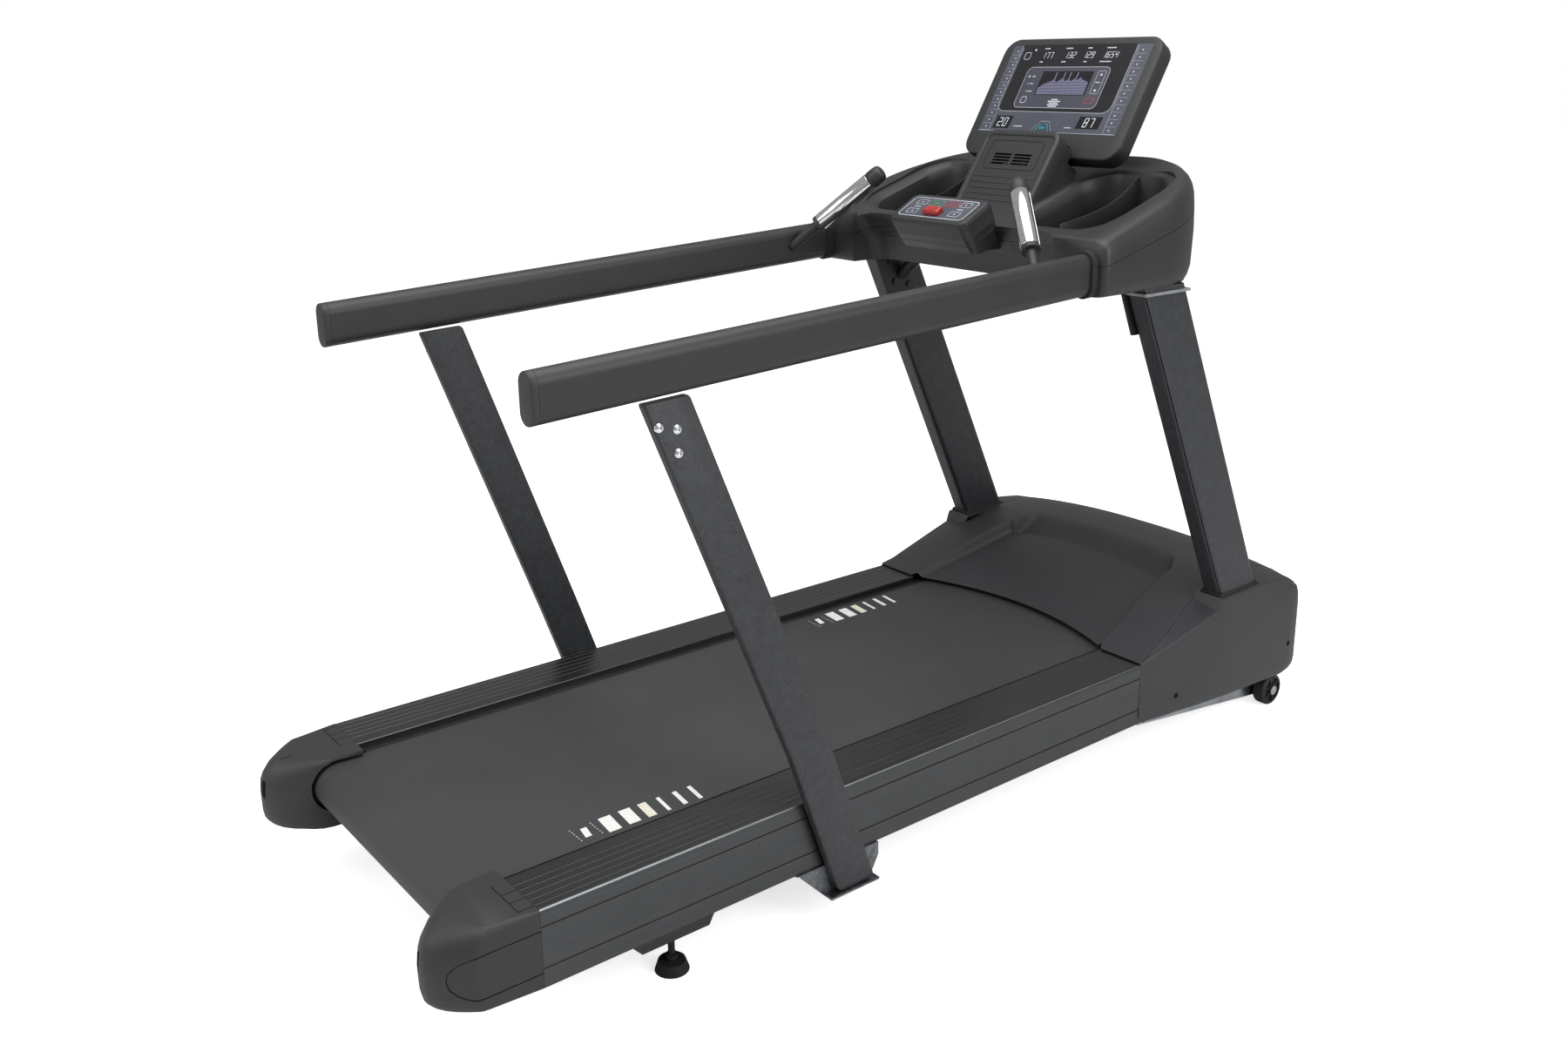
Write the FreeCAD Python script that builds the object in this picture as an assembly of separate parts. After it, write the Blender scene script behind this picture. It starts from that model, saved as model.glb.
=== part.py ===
"""Treadmill with a lifting front end, a console and full-length handrails.

Millimetres. +Y points forward, the way the user faces, +X to the user's right and +Z up.
The floor is z = 0, and the origin is the middle of the footprint.
"""
import FreeCAD, Part
import math
import os
from FreeCAD import Placement, Rotation, Vector

os.makedirs("parts", exist_ok=True)

# ---------------------------------------------------------------- driving dimensions
REAR = -1095.0                  # back of the rear end caps
FRONT = 1095.0                  # front of the hood
WALL = 3.0                      # plastic shells and tube walls
FIT = 0.3                       # gap between a loop and what turns inside it
PIVOT_FIT = 0.05                # radial clearance of a shaft in its bearing

RAIL_OUT = 415.0                # side rails, measured from the middle of the machine
RAIL_IN = 300.0
RAIL_TOP = 252.0
SKIRT_BOTTOM = 116.0
RAIL_REAR = -924.0
RAIL_FRONT = 505.0

TUBE_IN, TUBE_OUT = 316.0, 366.0    # frame side tubes
TUBE_BOTTOM, TUBE_TOP = 130.0, 222.0
TUBE_REAR, TUBE_FRONT = -1040.0, 1030.0

BELT_HALF = 279.5               # half of a 559 mm (22 in) belt
BELT_TOP = 240.0
BELT_THICK = 2.5
WRAP = 44.0                     # outside radius of the belt on its rollers
ROLLER = WRAP - BELT_THICK - FIT
AXIS_Z = BELT_TOP - WRAP
REAR_Y, FRONT_Y = -975.0, 650.0     # roller axes
AXLE = 8.5

DECK_HALF = 305.0
DECK_THICK = 19.0
DECK_TOP = BELT_TOP - BELT_THICK - 0.1
DECK_REAR, DECK_FRONT = -915.0, 590.0
CROSS_YS = (-830.0, -380.0, 70.0, 520.0)    # crossmembers under the deck
CROSS_WIDE = 60.0
CROSS_BOTTOM, CROSS_TOP = 158.0, 198.0

DRIVE_PULLEY, MOTOR_PULLEY = 60.0, 30.0     # their radii give the drive its 2:1 ratio
PULLEY_X0, PULLEY_X1 = 288.0, 312.0
DRIVE_BELT_THICK = 3.0
MOTOR_Y, MOTOR_Z = 890.0, 232.0
MOTOR_RADIUS = 72.0
SHAFT = 8.0

LIFT_Y, LIFT_Z = 575.0, 95.0        # pivot of the lift frame
LIFT_PIN = 8.0
ARM_IN, ARM_OUT = 345.0, 369.0
WHEEL_Y, WHEEL = 1025.0, 38.0
WHEEL_X0, WHEEL_X1 = 373.0, 403.0
SCREW_Y, SCREW_Z = 770.0, 70.0      # where the lift screw joins the lift frame
LIFT_TOP_Y, LIFT_TOP_Z = 752.0, 275.0   # hinge of the lift motor
CHEEK_X = 92.0                      # inside faces of the cheeks that hold that hinge
SCREW_EYE = 16.0        # the fork's eye leaves the lift frame's bar room to wander in it

FOOT_X, FOOT_Y = 357.0, -657.0
FOOT_STEM = 6.0

UPRIGHT_X, UPRIGHT_THICK = 397.0, 49.0
UPRIGHT_WIDE = 134.0
UPRIGHT_LEAN = -0.461               # run along Y for each unit of height
UPRIGHT_REF_Y, UPRIGHT_REF_Z = 760.0, 350.0     # a point of the rear edge
UPRIGHT_BOTTOM, UPRIGHT_TOP = 132.0, 1062.0

HANDRAIL_X, HANDRAIL_WIDE, HANDRAIL_TALL = 389.0, 40.0, 81.0
HANDRAIL_REAR, HANDRAIL_FRONT = -882.0, 440.0
HANDRAIL_RISE = 0.055
HANDRAIL_REAR_TOP = 1075.6
COLLAR_Y = 310.0                    # where the handrails enter the console

STRUT_X0, STRUT_X1 = 419.0, 439.0
STRUT_BEND_Z = 346.0
STRUT_TIP = 3.4                     # degrees that the upper part leans inwards

HOOD_X = 434.0
INLET = (-250.0, -160.0, 116.0, 176.0)      # x0, x1, z0, z1 of the power inlet plate
HOOD_SEAM_X = 288.0
CONSOLE_HALF = 432.0
CONSOLE_BOTTOM = 1056.0

NECK_TILT = 34.0                    # lean back from the vertical
DISPLAY_TILT = 31.5
POD_TILT = 61.0
DISPLAY_CENTER = Vector(0, 640, 1416)
NECK_CENTER = Vector(0, 479, 1268)
POD_CENTER = Vector(0, 283, 1197)

AXES = {"x": Vector(1, 0, 0), "y": Vector(0, 1, 0), "z": Vector(0, 0, 1)}
NODES = {}


# ---------------------------------------------------------------- helpers
def block(x0, x1, y0, y1, z0, z1):
    return Part.makeBox(x1 - x0, y1 - y0, z1 - z0, Vector(x0, y0, z0))


def rod(axis, radius, start, length):
    return Part.makeCylinder(radius, length, Vector(*start), AXES[axis])


def pipe(axis, radius, bore, start, length):
    return rod(axis, radius, start, length).cut(rod(axis, bore, start, length))


def face_of(points):
    return Part.Face(Part.makePolygon(points + points[:1]))


def side_face(outline):
    """A face in the plane X = 0 from (y, z) points."""
    return face_of([Vector(0, y, z) for y, z in outline])


def side_prism(outline, x0, x1):
    solid = side_face(outline).extrude(Vector(x1 - x0, 0, 0))
    solid.translate(Vector(x0, 0, 0))
    return solid


def plan_prism(outline, z0, z1):
    return face_of([Vector(x, y, z0) for x, y in outline]).extrude(Vector(0, 0, z1 - z0))


def inset(face, distance):
    """The same outline moved inwards, corners kept sharp."""
    return face.makeOffset2D(-distance, 2)


def mirrored(shape):
    return shape.mirror(Vector(0, 0, 0), Vector(1, 0, 0))


def pair(shape):
    return [mirrored(shape), shape]


def rounded(shape, radius, pick):
    """Fillet the edges that pick() accepts."""
    return shape.makeFillet(radius, [edge for edge in shape.Edges if pick(edge)])


def along(axis):
    """Accept straight edges along one axis."""
    def pick(edge):
        if not isinstance(edge.Curve, Part.Line):
            return False
        run = edge.Vertexes[-1].Point.sub(edge.Vertexes[0].Point)
        return abs(abs(run.dot(AXES[axis])) - run.Length) < 1e-6
    return pick


def panel(width, height, depth, radius):
    """A plate with rounded corners: X wide, Z tall, its front at y = 0 facing -Y."""
    plate = block(-width / 2, width / 2, 0, depth, -height / 2, height / 2)
    return rounded(plate, radius, along("y"))


def leaned(shape, tilt, center):
    """Lean a panel back from the vertical by tilt degrees and move it to center."""
    moved = shape.copy()
    place = Placement(center, Rotation(AXES["x"], -tilt))
    moved.Placement = place.multiply(shape.Placement)
    return moved


def save(name, *solids):
    flat = []
    for solid in solids:
        flat.extend(solid if isinstance(solid, list) else [solid])
    pieces = [piece for shape in flat for piece in shape.Solids]
    NODES[name] = pieces
    Part.makeCompound(pieces).exportStep("parts/%s.step" % name)


def save_pair(name, right):
    save(name + "_left", mirrored(right))
    save(name + "_right", right)


def loop(radius_a, y_a, z_a, radius_b, y_b, z_b, thick, x0, x1):
    """A belt round two pulleys whose axes run along X. The radii are its inside radii."""
    run = math.hypot(y_b - y_a, z_b - z_a)
    turn = math.atan2(z_b - z_a, y_b - y_a)
    wedge = math.asin((radius_a - radius_b) / run)

    def outline(extra):
        ra, rb = radius_a + extra, radius_b + extra

        def at(y, z, radius, angle):
            return Vector(x0, y + radius * math.cos(angle), z + radius * math.sin(angle))

        upper = turn + math.pi / 2 - wedge
        lower = turn - math.pi / 2 + wedge
        a_top, a_low = at(y_a, z_a, ra, upper), at(y_a, z_a, ra, lower)
        b_top, b_low = at(y_b, z_b, rb, upper), at(y_b, z_b, rb, lower)
        a_back = at(y_a, z_a, ra, turn + math.pi)
        b_front = at(y_b, z_b, rb, turn)
        edges = [
            Part.LineSegment(a_top, b_top).toShape(),
            Part.Arc(b_top, b_front, b_low).toShape(),
            Part.LineSegment(b_low, a_low).toShape(),
            Part.Arc(a_low, a_back, a_top).toShape(),
        ]
        return Part.Face(Part.Wire(edges)).extrude(Vector(x1 - x0, 0, 0))

    return outline(thick).cut(outline(0))


def upright_prism(grow, z0, z1):
    """The right upright's outer form, grown by a clearance."""
    def rear_edge(z):
        return UPRIGHT_REF_Y + UPRIGHT_LEAN * (z - UPRIGHT_REF_Z)
    outline = [
        (rear_edge(z0) - grow, z0), (rear_edge(z0) + UPRIGHT_WIDE + grow, z0),
        (rear_edge(z1) + UPRIGHT_WIDE + grow, z1), (rear_edge(z1) - grow, z1),
    ]
    half = UPRIGHT_THICK / 2 + grow
    return side_prism(outline, UPRIGHT_X - half, UPRIGHT_X + half)


def handrail_top(y):
    return HANDRAIL_REAR_TOP + HANDRAIL_RISE * (y - HANDRAIL_REAR)


def handrail_form(grow, y0, y1):
    """A flat oval bar along the right handrail's axis, between two planes y0 and y1."""
    half_x = HANDRAIL_WIDE / 2 + grow
    half_z = HANDRAIL_TALL / 2 + grow
    straight = half_z - half_x
    mid = handrail_top(y0) - HANDRAIL_TALL / 2

    def at(x, z):
        return Vector(HANDRAIL_X + x, y0, mid + z)

    edges = [
        Part.LineSegment(at(half_x, -straight), at(half_x, straight)).toShape(),
        Part.Arc(at(half_x, straight), at(0, half_z), at(-half_x, straight)).toShape(),
        Part.LineSegment(at(-half_x, straight), at(-half_x, -straight)).toShape(),
        Part.Arc(at(-half_x, -straight), at(0, -half_z), at(half_x, -straight)).toShape(),
    ]
    return Part.Face(Part.Wire(edges)).extrude(Vector(0, y1 - y0, HANDRAIL_RISE * (y1 - y0)))


# ---------------------------------------------------------------- base frame
def frame_side_tubes():
    tube = block(TUBE_IN, TUBE_OUT, TUBE_REAR, TUBE_FRONT, TUBE_BOTTOM, TUBE_TOP)
    tube = tube.cut(block(TUBE_IN + WALL, TUBE_OUT - WALL, TUBE_REAR, TUBE_FRONT,
                          TUBE_BOTTOM + WALL, TUBE_TOP - WALL))
    bore = AXLE + 0.5
    adjust = 14.0
    slot = rod("x", bore, (TUBE_IN - 5, REAR_Y - adjust, AXIS_Z), 60)
    slot = slot.fuse(rod("x", bore, (TUBE_IN - 5, REAR_Y + adjust, AXIS_Z), 60))
    slot = slot.fuse(block(TUBE_IN - 5, TUBE_IN + 55, REAR_Y - adjust, REAR_Y + adjust,
                           AXIS_Z - bore, AXIS_Z + bore))
    tube = tube.cut(slot)
    tube = tube.cut(rod("x", bore, (TUBE_IN - 5, FRONT_Y, AXIS_Z), 60))
    for y, z in upright_bolt_places():
        tube = tube.cut(rod("x", 5.5, (TUBE_IN - 5, y, z), 60))
    save("frame_side_tubes", pair(tube))


def upright_bolt_places():
    return [(884, 162), (964, 162), (866, 200), (946, 200)]


def frame_crossmembers():
    """Welded members: bars under the deck, bars of the motor bay, lift pivot brackets."""
    bars = []
    for y in CROSS_YS:
        bar = block(-TUBE_IN, TUBE_IN, y - CROSS_WIDE / 2, y + CROSS_WIDE / 2,
                    CROSS_BOTTOM, CROSS_TOP)
        bars.append(bar.cut(block(-TUBE_IN, TUBE_IN, y - CROSS_WIDE / 2 + WALL,
                                  y + CROSS_WIDE / 2 - WALL,
                                  CROSS_BOTTOM + WALL, CROSS_TOP - WALL)))
    bay_top = TUBE_BOTTOM + 16
    for y0, y1 in ((555, 595), (800, 840), (950, 990)):
        bar = block(-TUBE_IN, TUBE_IN, y0, y1, TUBE_BOTTOM, bay_top)
        bars.append(bar.cut(block(-TUBE_IN, TUBE_IN, y0 + 2, y1 - 2,
                                  TUBE_BOTTOM + 2, bay_top - 2)))
    bracket = side_prism([(550, TUBE_BOTTOM), (600, TUBE_BOTTOM), (590, 78), (560, 78)], 298, 306)
    bracket = bracket.cut(rod("x", LIFT_PIN, (290, LIFT_Y, LIFT_Z), 30))
    bars.extend(pair(bracket))
    pin = rod("x", LIFT_PIN, (298, LIFT_Y, LIFT_Z), ARM_OUT + 6 - 298)
    head = rod("x", 13, (ARM_OUT + 0.5, LIFT_Y, LIFT_Z), 5.5).cut(
        rod("x", LIFT_PIN, (ARM_OUT, LIFT_Y, LIFT_Z), 7))
    bars.extend(pair(pin.fuse(head)))
    bars.extend(pair(foot_bracket()))
    bars.extend(lift_hanger())
    bars.append(block(-290, 260, 800, 990, bay_top, bay_top + 5))
    save("frame_crossmembers", bars)


def foot_bracket():
    """A trapezoid channel under the side tube, with a threaded hole for the foot."""
    outline = [(-768, TUBE_BOTTOM), (-585, TUBE_BOTTOM), (-585, 116), (-604, 82),
               (-737, 82), (-768, 116)]
    channel = side_prism(outline, 324, 396)
    hollow = side_prism([(y, z + 4) for y, z in outline], 328, 392)
    channel = channel.cut(hollow)
    channel = channel.cut(block(TUBE_OUT, 400, -800, -560, SKIRT_BOTTOM - 0.5, 140))
    return channel.cut(rod("z", FOOT_STEM + PIVOT_FIT, (FOOT_X, FOOT_Y, 70), 60))


def lift_hanger():
    """Two cheeks and a bar over the motor bay that carry the lift motor's hinge pin."""
    cheek = side_prism([(730, 151), (836, 151), (836, 162), (780, 292), (732, 292)],
                       CHEEK_X, CHEEK_X + 5)
    cheek = cheek.cut(rod("x", 6, (CHEEK_X - 5, LIFT_TOP_Y, LIFT_TOP_Z), 20))
    pin = rod("x", 6, (-CHEEK_X - 5, LIFT_TOP_Y, LIFT_TOP_Z), 2 * CHEEK_X + 10)
    return pair(cheek) + [pin]


def deck():
    save("running_deck", rounded(
        block(-DECK_HALF, DECK_HALF, DECK_REAR, DECK_FRONT, DECK_TOP - DECK_THICK, DECK_TOP),
        3, along("x")))
    cushions = []
    for y in CROSS_YS:
        for x in (-240, 240):
            cushions.append(rod("z", 22, (x, y, CROSS_TOP), DECK_TOP - DECK_THICK - CROSS_TOP))
    save("deck_cushions", cushions)
    save("running_belt", loop(ROLLER + FIT, REAR_Y, AXIS_Z, ROLLER + FIT, FRONT_Y, AXIS_Z,
                              BELT_THICK, -BELT_HALF, BELT_HALF))


def rollers():
    half = 285.0

    def drum():
        tube = pipe("x", ROLLER, ROLLER - 4, (-half, 0, 0), 2 * half)
        for x in (-half, half - 18):
            tube = tube.fuse(pipe("x", ROLLER - 4, AXLE + PIVOT_FIT, (x, 0, 0), 18))
        return tube

    rear = drum()
    rear.translate(Vector(0, REAR_Y, AXIS_Z))
    save("rear_roller", rear)
    front = drum()
    width = PULLEY_X1 - PULLEY_X0
    pulley = pipe("x", DRIVE_PULLEY, AXLE + PIVOT_FIT, (PULLEY_X0, 0, 0), width)
    hub = pipe("x", 26, AXLE + PIVOT_FIT, (half, 0, 0), PULLEY_X0 - half)
    front = front.fuse(hub).fuse(pulley)
    front.translate(Vector(0, FRONT_Y, AXIS_Z))
    save("front_roller", front)
    save("roller_axles",
         rod("x", AXLE, (-TUBE_OUT + WALL + 3, REAR_Y, AXIS_Z), 2 * (TUBE_OUT - WALL - 3)),
         rod("x", AXLE, (-TUBE_OUT + WALL + 3, FRONT_Y, AXIS_Z), 2 * (TUBE_OUT - WALL - 3)))
    bolt = rod("y", 5, (341, TUBE_REAR - 12, AXIS_Z), REAR_Y - AXLE - FIT - TUBE_REAR + 12)
    head = rod("y", 9, (341, TUBE_REAR - 20, AXIS_Z), 8)
    plate = block(320, 362, TUBE_REAR - 6, TUBE_REAR, 140, 215)
    plate = plate.cut(rod("y", 5.2, (341, TUBE_REAR - 10, AXIS_Z), 20))
    save("belt_tension_bolts", pair(bolt.fuse(head)), pair(plate))


def side_rail():
    """An aluminium extrusion that stands on the frame tube and hides it."""
    thick = 3.0
    walls = [
        (RAIL_IN, RAIL_OUT, RAIL_TOP - thick, RAIL_TOP),
        (RAIL_OUT - thick, RAIL_OUT, SKIRT_BOTTOM, RAIL_TOP - thick),
        (RAIL_IN, RAIL_IN + thick, DECK_TOP + 1, RAIL_TOP - thick),
        (320, 320 + thick, TUBE_TOP, RAIL_TOP - thick),
        (360, 360 + thick, TUBE_TOP, RAIL_TOP - thick),
        (TUBE_OUT, RAIL_OUT - thick, 180, 180 + thick),
        (400, RAIL_OUT - thick, SKIRT_BOTTOM, SKIRT_BOTTOM + thick),
    ]
    rail = None
    for x0, x1, z0, z1 in walls:
        wall = block(x0, x1, RAIL_REAR, RAIL_FRONT, z0, z1)
        rail = wall if rail is None else rail.fuse(wall)
    for x in (330, 347, 364, 381, 398):
        rail = rail.cut(block(x - 1, x + 1, RAIL_REAR, RAIL_FRONT, RAIL_TOP - 1.2, RAIL_TOP))
    for z in (222, 150):
        rail = rail.cut(block(RAIL_OUT - 1.2, RAIL_OUT, RAIL_REAR, RAIL_FRONT, z - 1, z + 1))
    save_pair("side_rail", rail.removeSplitter())


def rear_end_cap():
    """A plastic shell over the end of the frame, open towards the rail and the floor."""
    plan = [(268, -1000), (282, -1040), (300, -1078), (330, REAR + 1), (352, REAR), (378, -1080),
            (403, -1050), (RAIL_OUT, -1028), (RAIL_OUT, RAIL_REAR - 0.5), (268, RAIL_REAR - 0.5)]
    side = [(REAR, 150), (-1088, 130), (-1070, 122), (RAIL_REAR - 0.5, 116),
            (RAIL_REAR - 0.5, RAIL_TOP), (-1050, RAIL_TOP), (-1078, 238), (-1090, 215)]
    outer = plan_prism(plan, 110, 260).common(side_prism(side, 260, 420))
    inner_side = [(y, z - WALL) for y, z in side[4:6]] + [(-1072, 233), (-1090 + 2 * WALL, 212),
                  (-1090 + 2 * WALL, 100), (RAIL_REAR + 5, 100), (RAIL_REAR + 5, RAIL_TOP - WALL)]
    plan_face = face_of([Vector(x, y, 100) for x, y in plan])
    inner = inset(plan_face, WALL).extrude(Vector(0, 0, 160)).common(
        side_prism(inner_side, 260, 420))
    shell = outer.cut(inner)
    shell = shell.cut(block(RAIL_IN + 1, RAIL_OUT - WALL, RAIL_REAR - 6, RAIL_REAR + 1,
                            100, RAIL_TOP - WALL))
    shell = shell.cut(block(260, 300, -1010, RAIL_REAR + 1, 100, BELT_TOP + 2))
    shell = shell.cut(rod("x", WRAP + 6, (260, REAR_Y, AXIS_Z), 45))
    slot = rod("y", 6, (341, REAR - 5, AXIS_Z - 12), 30).fuse(
        rod("y", 6, (341, REAR - 5, AXIS_Z + 12), 30)).fuse(
        block(335, 347, REAR - 5, REAR + 25, AXIS_Z - 12, AXIS_Z + 12))
    save_pair("rear_end_cap", shell.cut(slot).removeSplitter())


# ---------------------------------------------------------------- hood and what it covers
def hood():
    top = [(540, 244), (600, 256), (690, 318), (800, 352), (930, 372), (1000, 366), (1055, 334),
           (1088, 240), (FRONT, 180)]
    face = side_face(top + [(FRONT, 100), (540, 100)])
    cover = face.extrude(Vector(2 * HOOD_SEAM_X - 1, 0, 0))
    cover.translate(Vector(-HOOD_SEAM_X + 0.5, 0, 0))
    hollow = inset(face, WALL).extrude(Vector(700, 0, 0))
    hollow.translate(Vector(-350, 0, 0))
    cover = cover.cut(hollow)
    cover = cover.cut(block(-300, 300, 500, FRONT - 20, 90, BELT_TOP + 3.5))
    cover = cover.cut(block(-300, 300, 500, FRONT + 1, 90, 104))
    arc_depth = 74.0
    arc_radius = (HOOD_SEAM_X ** 2 + arc_depth ** 2) / (2 * arc_depth)
    cover = cover.cut(rod("z", arc_radius, (0, 599 - arc_radius, 200), 200))
    inlet = INLET
    cover = cover.cut(block(inlet[0] + 4, inlet[1] - 4, FRONT - 5, FRONT + 1,
                            inlet[2] + 4, inlet[3] - 4))
    save("hood_center_cover", cover.removeSplitter())

    side = [(506, 112), (506, 250), (776, 308), (790, 325), (951, 340), (1052, 322), (1086, 222),
            (1080, 111), (1054, 96), (1009, 91)]
    plan = [(HOOD_SEAM_X, 506), (417, 506), (430, 700), (HOOD_X, 780), (HOOD_X, 1030),
            (424, 1068), (392, 1088), (HOOD_SEAM_X, FRONT)]
    outer = side_prism(side, 280, 440).common(plan_prism(plan, 80, 400))
    inner_plan = [(280, 506)] + [(x - WALL, y) for x, y in plan[1:4]] + [
        (HOOD_X - WALL, 1029), (421.5, 1065.5), (391, 1084.5), (280, FRONT - 4)]
    inner_side = [(500, 80), (500, 246), (776, 305), (790, 322), (951, 337), (1049, 319),
                  (1083, 222), (1077, 113), (1054, 99), (1009, 80)]
    shell = outer.cut(side_prism(inner_side, 270, 440).common(plan_prism(inner_plan, 70, 400)))
    shell = shell.cut(upright_prism(1.5, 250, 420))
    shell = shell.cut(block(270, 408, 500, 1064, 80, 118))
    screws = []
    for y, z, length in ((614, 153, 8.0), (1020, 170, 8.0)):
        head = rod("x", 5, (hood_side_x(y), y, z), 1.5)
        screws.append(head.fuse(rod("x", 2.5, (hood_side_x(y) - length, y, z), length)))
        shell = shell.cut(screws[-1])
    save("hood_screws", [s for screw in screws for s in pair(screw)])
    save_pair("hood_side_cover", shell.removeSplitter())

    pan = block(-HOOD_SEAM_X + 2, HOOD_SEAM_X - 2, 610, 1040, 104, 107)
    pan = pan.cut(block(-30, 30, 640, 830, 100, 110))
    legs = [block(x, x + 20, y, y + 20, 107, TUBE_BOTTOM)
            for x in (-270, 250) for y in (810, 960)]
    for leg in legs:
        pan = pan.fuse(leg)
    save("belly_pan", pan)


def hood_side_x(y):
    """Where a screw head sits in the hood's side, half way through its wall."""
    return (HOOD_X if y > 780 else 417 + 13 * (y - 506) / 194) - WALL / 2


def motor():
    x0, x1 = -60.0, 240.0
    body = rod("x", MOTOR_RADIUS, (x0, MOTOR_Y, MOTOR_Z), x1 - x0)
    for x in (x0, x1 - 12):
        body = body.fuse(rod("x", MOTOR_RADIUS + 4, (x, MOTOR_Y, MOTOR_Z), 12))
    body = body.fuse(block(x0 + 20, x1 - 20, MOTOR_Y - 50, MOTOR_Y + 50, 151, MOTOR_Z - 30))
    body = body.cut(rod("x", SHAFT + PIVOT_FIT, (x0 - 5, MOTOR_Y, MOTOR_Z), x1 - x0 + 10))
    save("motor_body", body)
    shaft = rod("x", SHAFT, (x0 - 34, MOTOR_Y, MOTOR_Z), PULLEY_X1 - x0 + 34)
    pulley = rod("x", MOTOR_PULLEY, (PULLEY_X0, MOTOR_Y, MOTOR_Z), PULLEY_X1 - PULLEY_X0)
    flywheel = rod("x", 58, (x0 - 30, MOTOR_Y, MOTOR_Z), 24)
    save("motor_rotor", shaft.fuse(pulley).fuse(flywheel))
    board_box = block(-290, -130, 825, 975, 151, 215)
    fins = None
    for step in range(9):
        x = -286.0 + 18 * step
        fin = block(x, x + 6, 825, 975, 215, 235)
        fins = fin if fins is None else fins.fuse(fin)
    save("motor_controller", board_box.fuse(fins))
    save("drive_belt", loop(DRIVE_PULLEY + FIT, FRONT_Y, AXIS_Z, MOTOR_PULLEY + FIT, MOTOR_Y,
                            MOTOR_Z, DRIVE_BELT_THICK, PULLEY_X0 + 2, PULLEY_X1 - 2))


def power_inlet():
    x0, x1, z0, z1 = INLET
    plate = block(x0, x1, FRONT - WALL - 2, FRONT - WALL, z0, z1)
    housing = block(x0 + 6, x1 - 6, FRONT - 30, FRONT - WALL - 2, z0 + 6, z1 - 6)
    inlet = plate.fuse(housing)
    inlet = inlet.cut(block(x0 + 12, x0 + 42, FRONT - 24, FRONT, z0 + 16, z1 - 16))
    for dx, dz in ((20, 0), (27, 6), (34, 0)):
        pin = block(x0 + dx - 1, x0 + dx + 1, FRONT - 24, FRONT - 8,
                    (z0 + z1) / 2 + dz - 4, (z0 + z1) / 2 + dz)
        inlet = inlet.fuse(pin)
    inlet = inlet.cut(block(x1 - 34, x1 - 12, FRONT - 20, FRONT, z0 + 14, z1 - 14))
    middle = (z0 + z1) / 2
    pivot_y = FRONT - 12
    inlet = inlet.cut(rod("x", 1.6, (x1 - 37, pivot_y, middle), 28))
    save("power_inlet", inlet)
    rocker = side_prism([(FRONT - 14, middle - 11), (FRONT - 4, middle - 13),
                         (FRONT - 6, middle), (FRONT - 1, middle + 13), (FRONT - 14, middle + 11)],
                        x1 - 32, x1 - 14)
    save("power_switch", rocker.fuse(rod("x", 1.5, (x1 - 36, pivot_y, middle), 26)))


def lift():
    arm = side_prism([(LIFT_Y - 14, LIFT_Z + 16), (LIFT_Y - 14, LIFT_Z - 18), (WHEEL_Y - 10, 20),
                      (WHEEL_Y + 14, 28), (WHEEL_Y + 14, 50), (WHEEL_Y - 10, 60)],
                     ARM_IN, ARM_OUT)
    sleeve = rod("x", 16, (308, LIFT_Y, LIFT_Z), ARM_OUT - 308)
    stub = rod("x", 7, (ARM_OUT - 5, WHEEL_Y, WHEEL), WHEEL_X1 + 4 - ARM_OUT + 5)
    nut = rod("x", 11, (WHEEL_X1 + 1, WHEEL_Y, WHEEL), 4)
    arm = arm.fuse(sleeve).fuse(stub).fuse(nut)
    arm = arm.cut(rod("x", LIFT_PIN + PIVOT_FIT, (300, LIFT_Y, LIFT_Z), 100))
    arms = arm.fuse(mirrored(arm))
    tie = rod("x", 12, (-ARM_IN, 960, 50), 2 * ARM_IN)
    cross = rod("x", 10, (-ARM_IN, SCREW_Y, SCREW_Z), 2 * ARM_IN)
    save("lift_frame", arms.fuse(tie).fuse(cross))

    gearbox = block(-35, 35, LIFT_TOP_Y - 24, LIFT_TOP_Y + 24, 205, 292)
    motor_can = rod("z", 24, (58, LIFT_TOP_Y, 208), 100)
    body = gearbox.fuse(motor_can)
    body = body.cut(rod("x", 6 + PIVOT_FIT, (-90, LIFT_TOP_Y, LIFT_TOP_Z), 180))
    lean = math.degrees(math.atan2(SCREW_Y - LIFT_TOP_Y, LIFT_TOP_Z - SCREW_Z))
    body = body.cut(rod("z", 9.3, (0, LIFT_TOP_Y, 200), 62))
    body.rotate(Vector(0, LIFT_TOP_Y, LIFT_TOP_Z), AXES["x"], lean)
    save("lift_motor", body)
    reach = math.hypot(SCREW_Y - LIFT_TOP_Y, LIFT_TOP_Z - SCREW_Z)
    screw = rod("z", 9, (0, LIFT_TOP_Y, LIFT_TOP_Z - reach + 24), reach - 42)
    fork = block(-14, 14, LIFT_TOP_Y - 21, LIFT_TOP_Y + 21,
                 LIFT_TOP_Z - reach - 21, LIFT_TOP_Z - reach + 25)
    fork = fork.cut(rod("x", SCREW_EYE, (-20, LIFT_TOP_Y, LIFT_TOP_Z - reach), 40))
    screw = screw.fuse(fork)
    screw.rotate(Vector(0, LIFT_TOP_Y, LIFT_TOP_Z), AXES["x"], lean)
    save("lift_screw", screw)

    wheel = pipe("x", WHEEL, 7 + PIVOT_FIT, (WHEEL_X0, WHEEL_Y, WHEEL), WHEEL_X1 - WHEEL_X0)
    wheel = rounded(wheel, 4, lambda edge: abs(edge.Length - 2 * math.pi * WHEEL) < 1)
    groove = pipe("x", 30, 14, (WHEEL_X1 - 5, WHEEL_Y, WHEEL), 6)
    save_pair("wheel", wheel.cut(groove))


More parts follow.
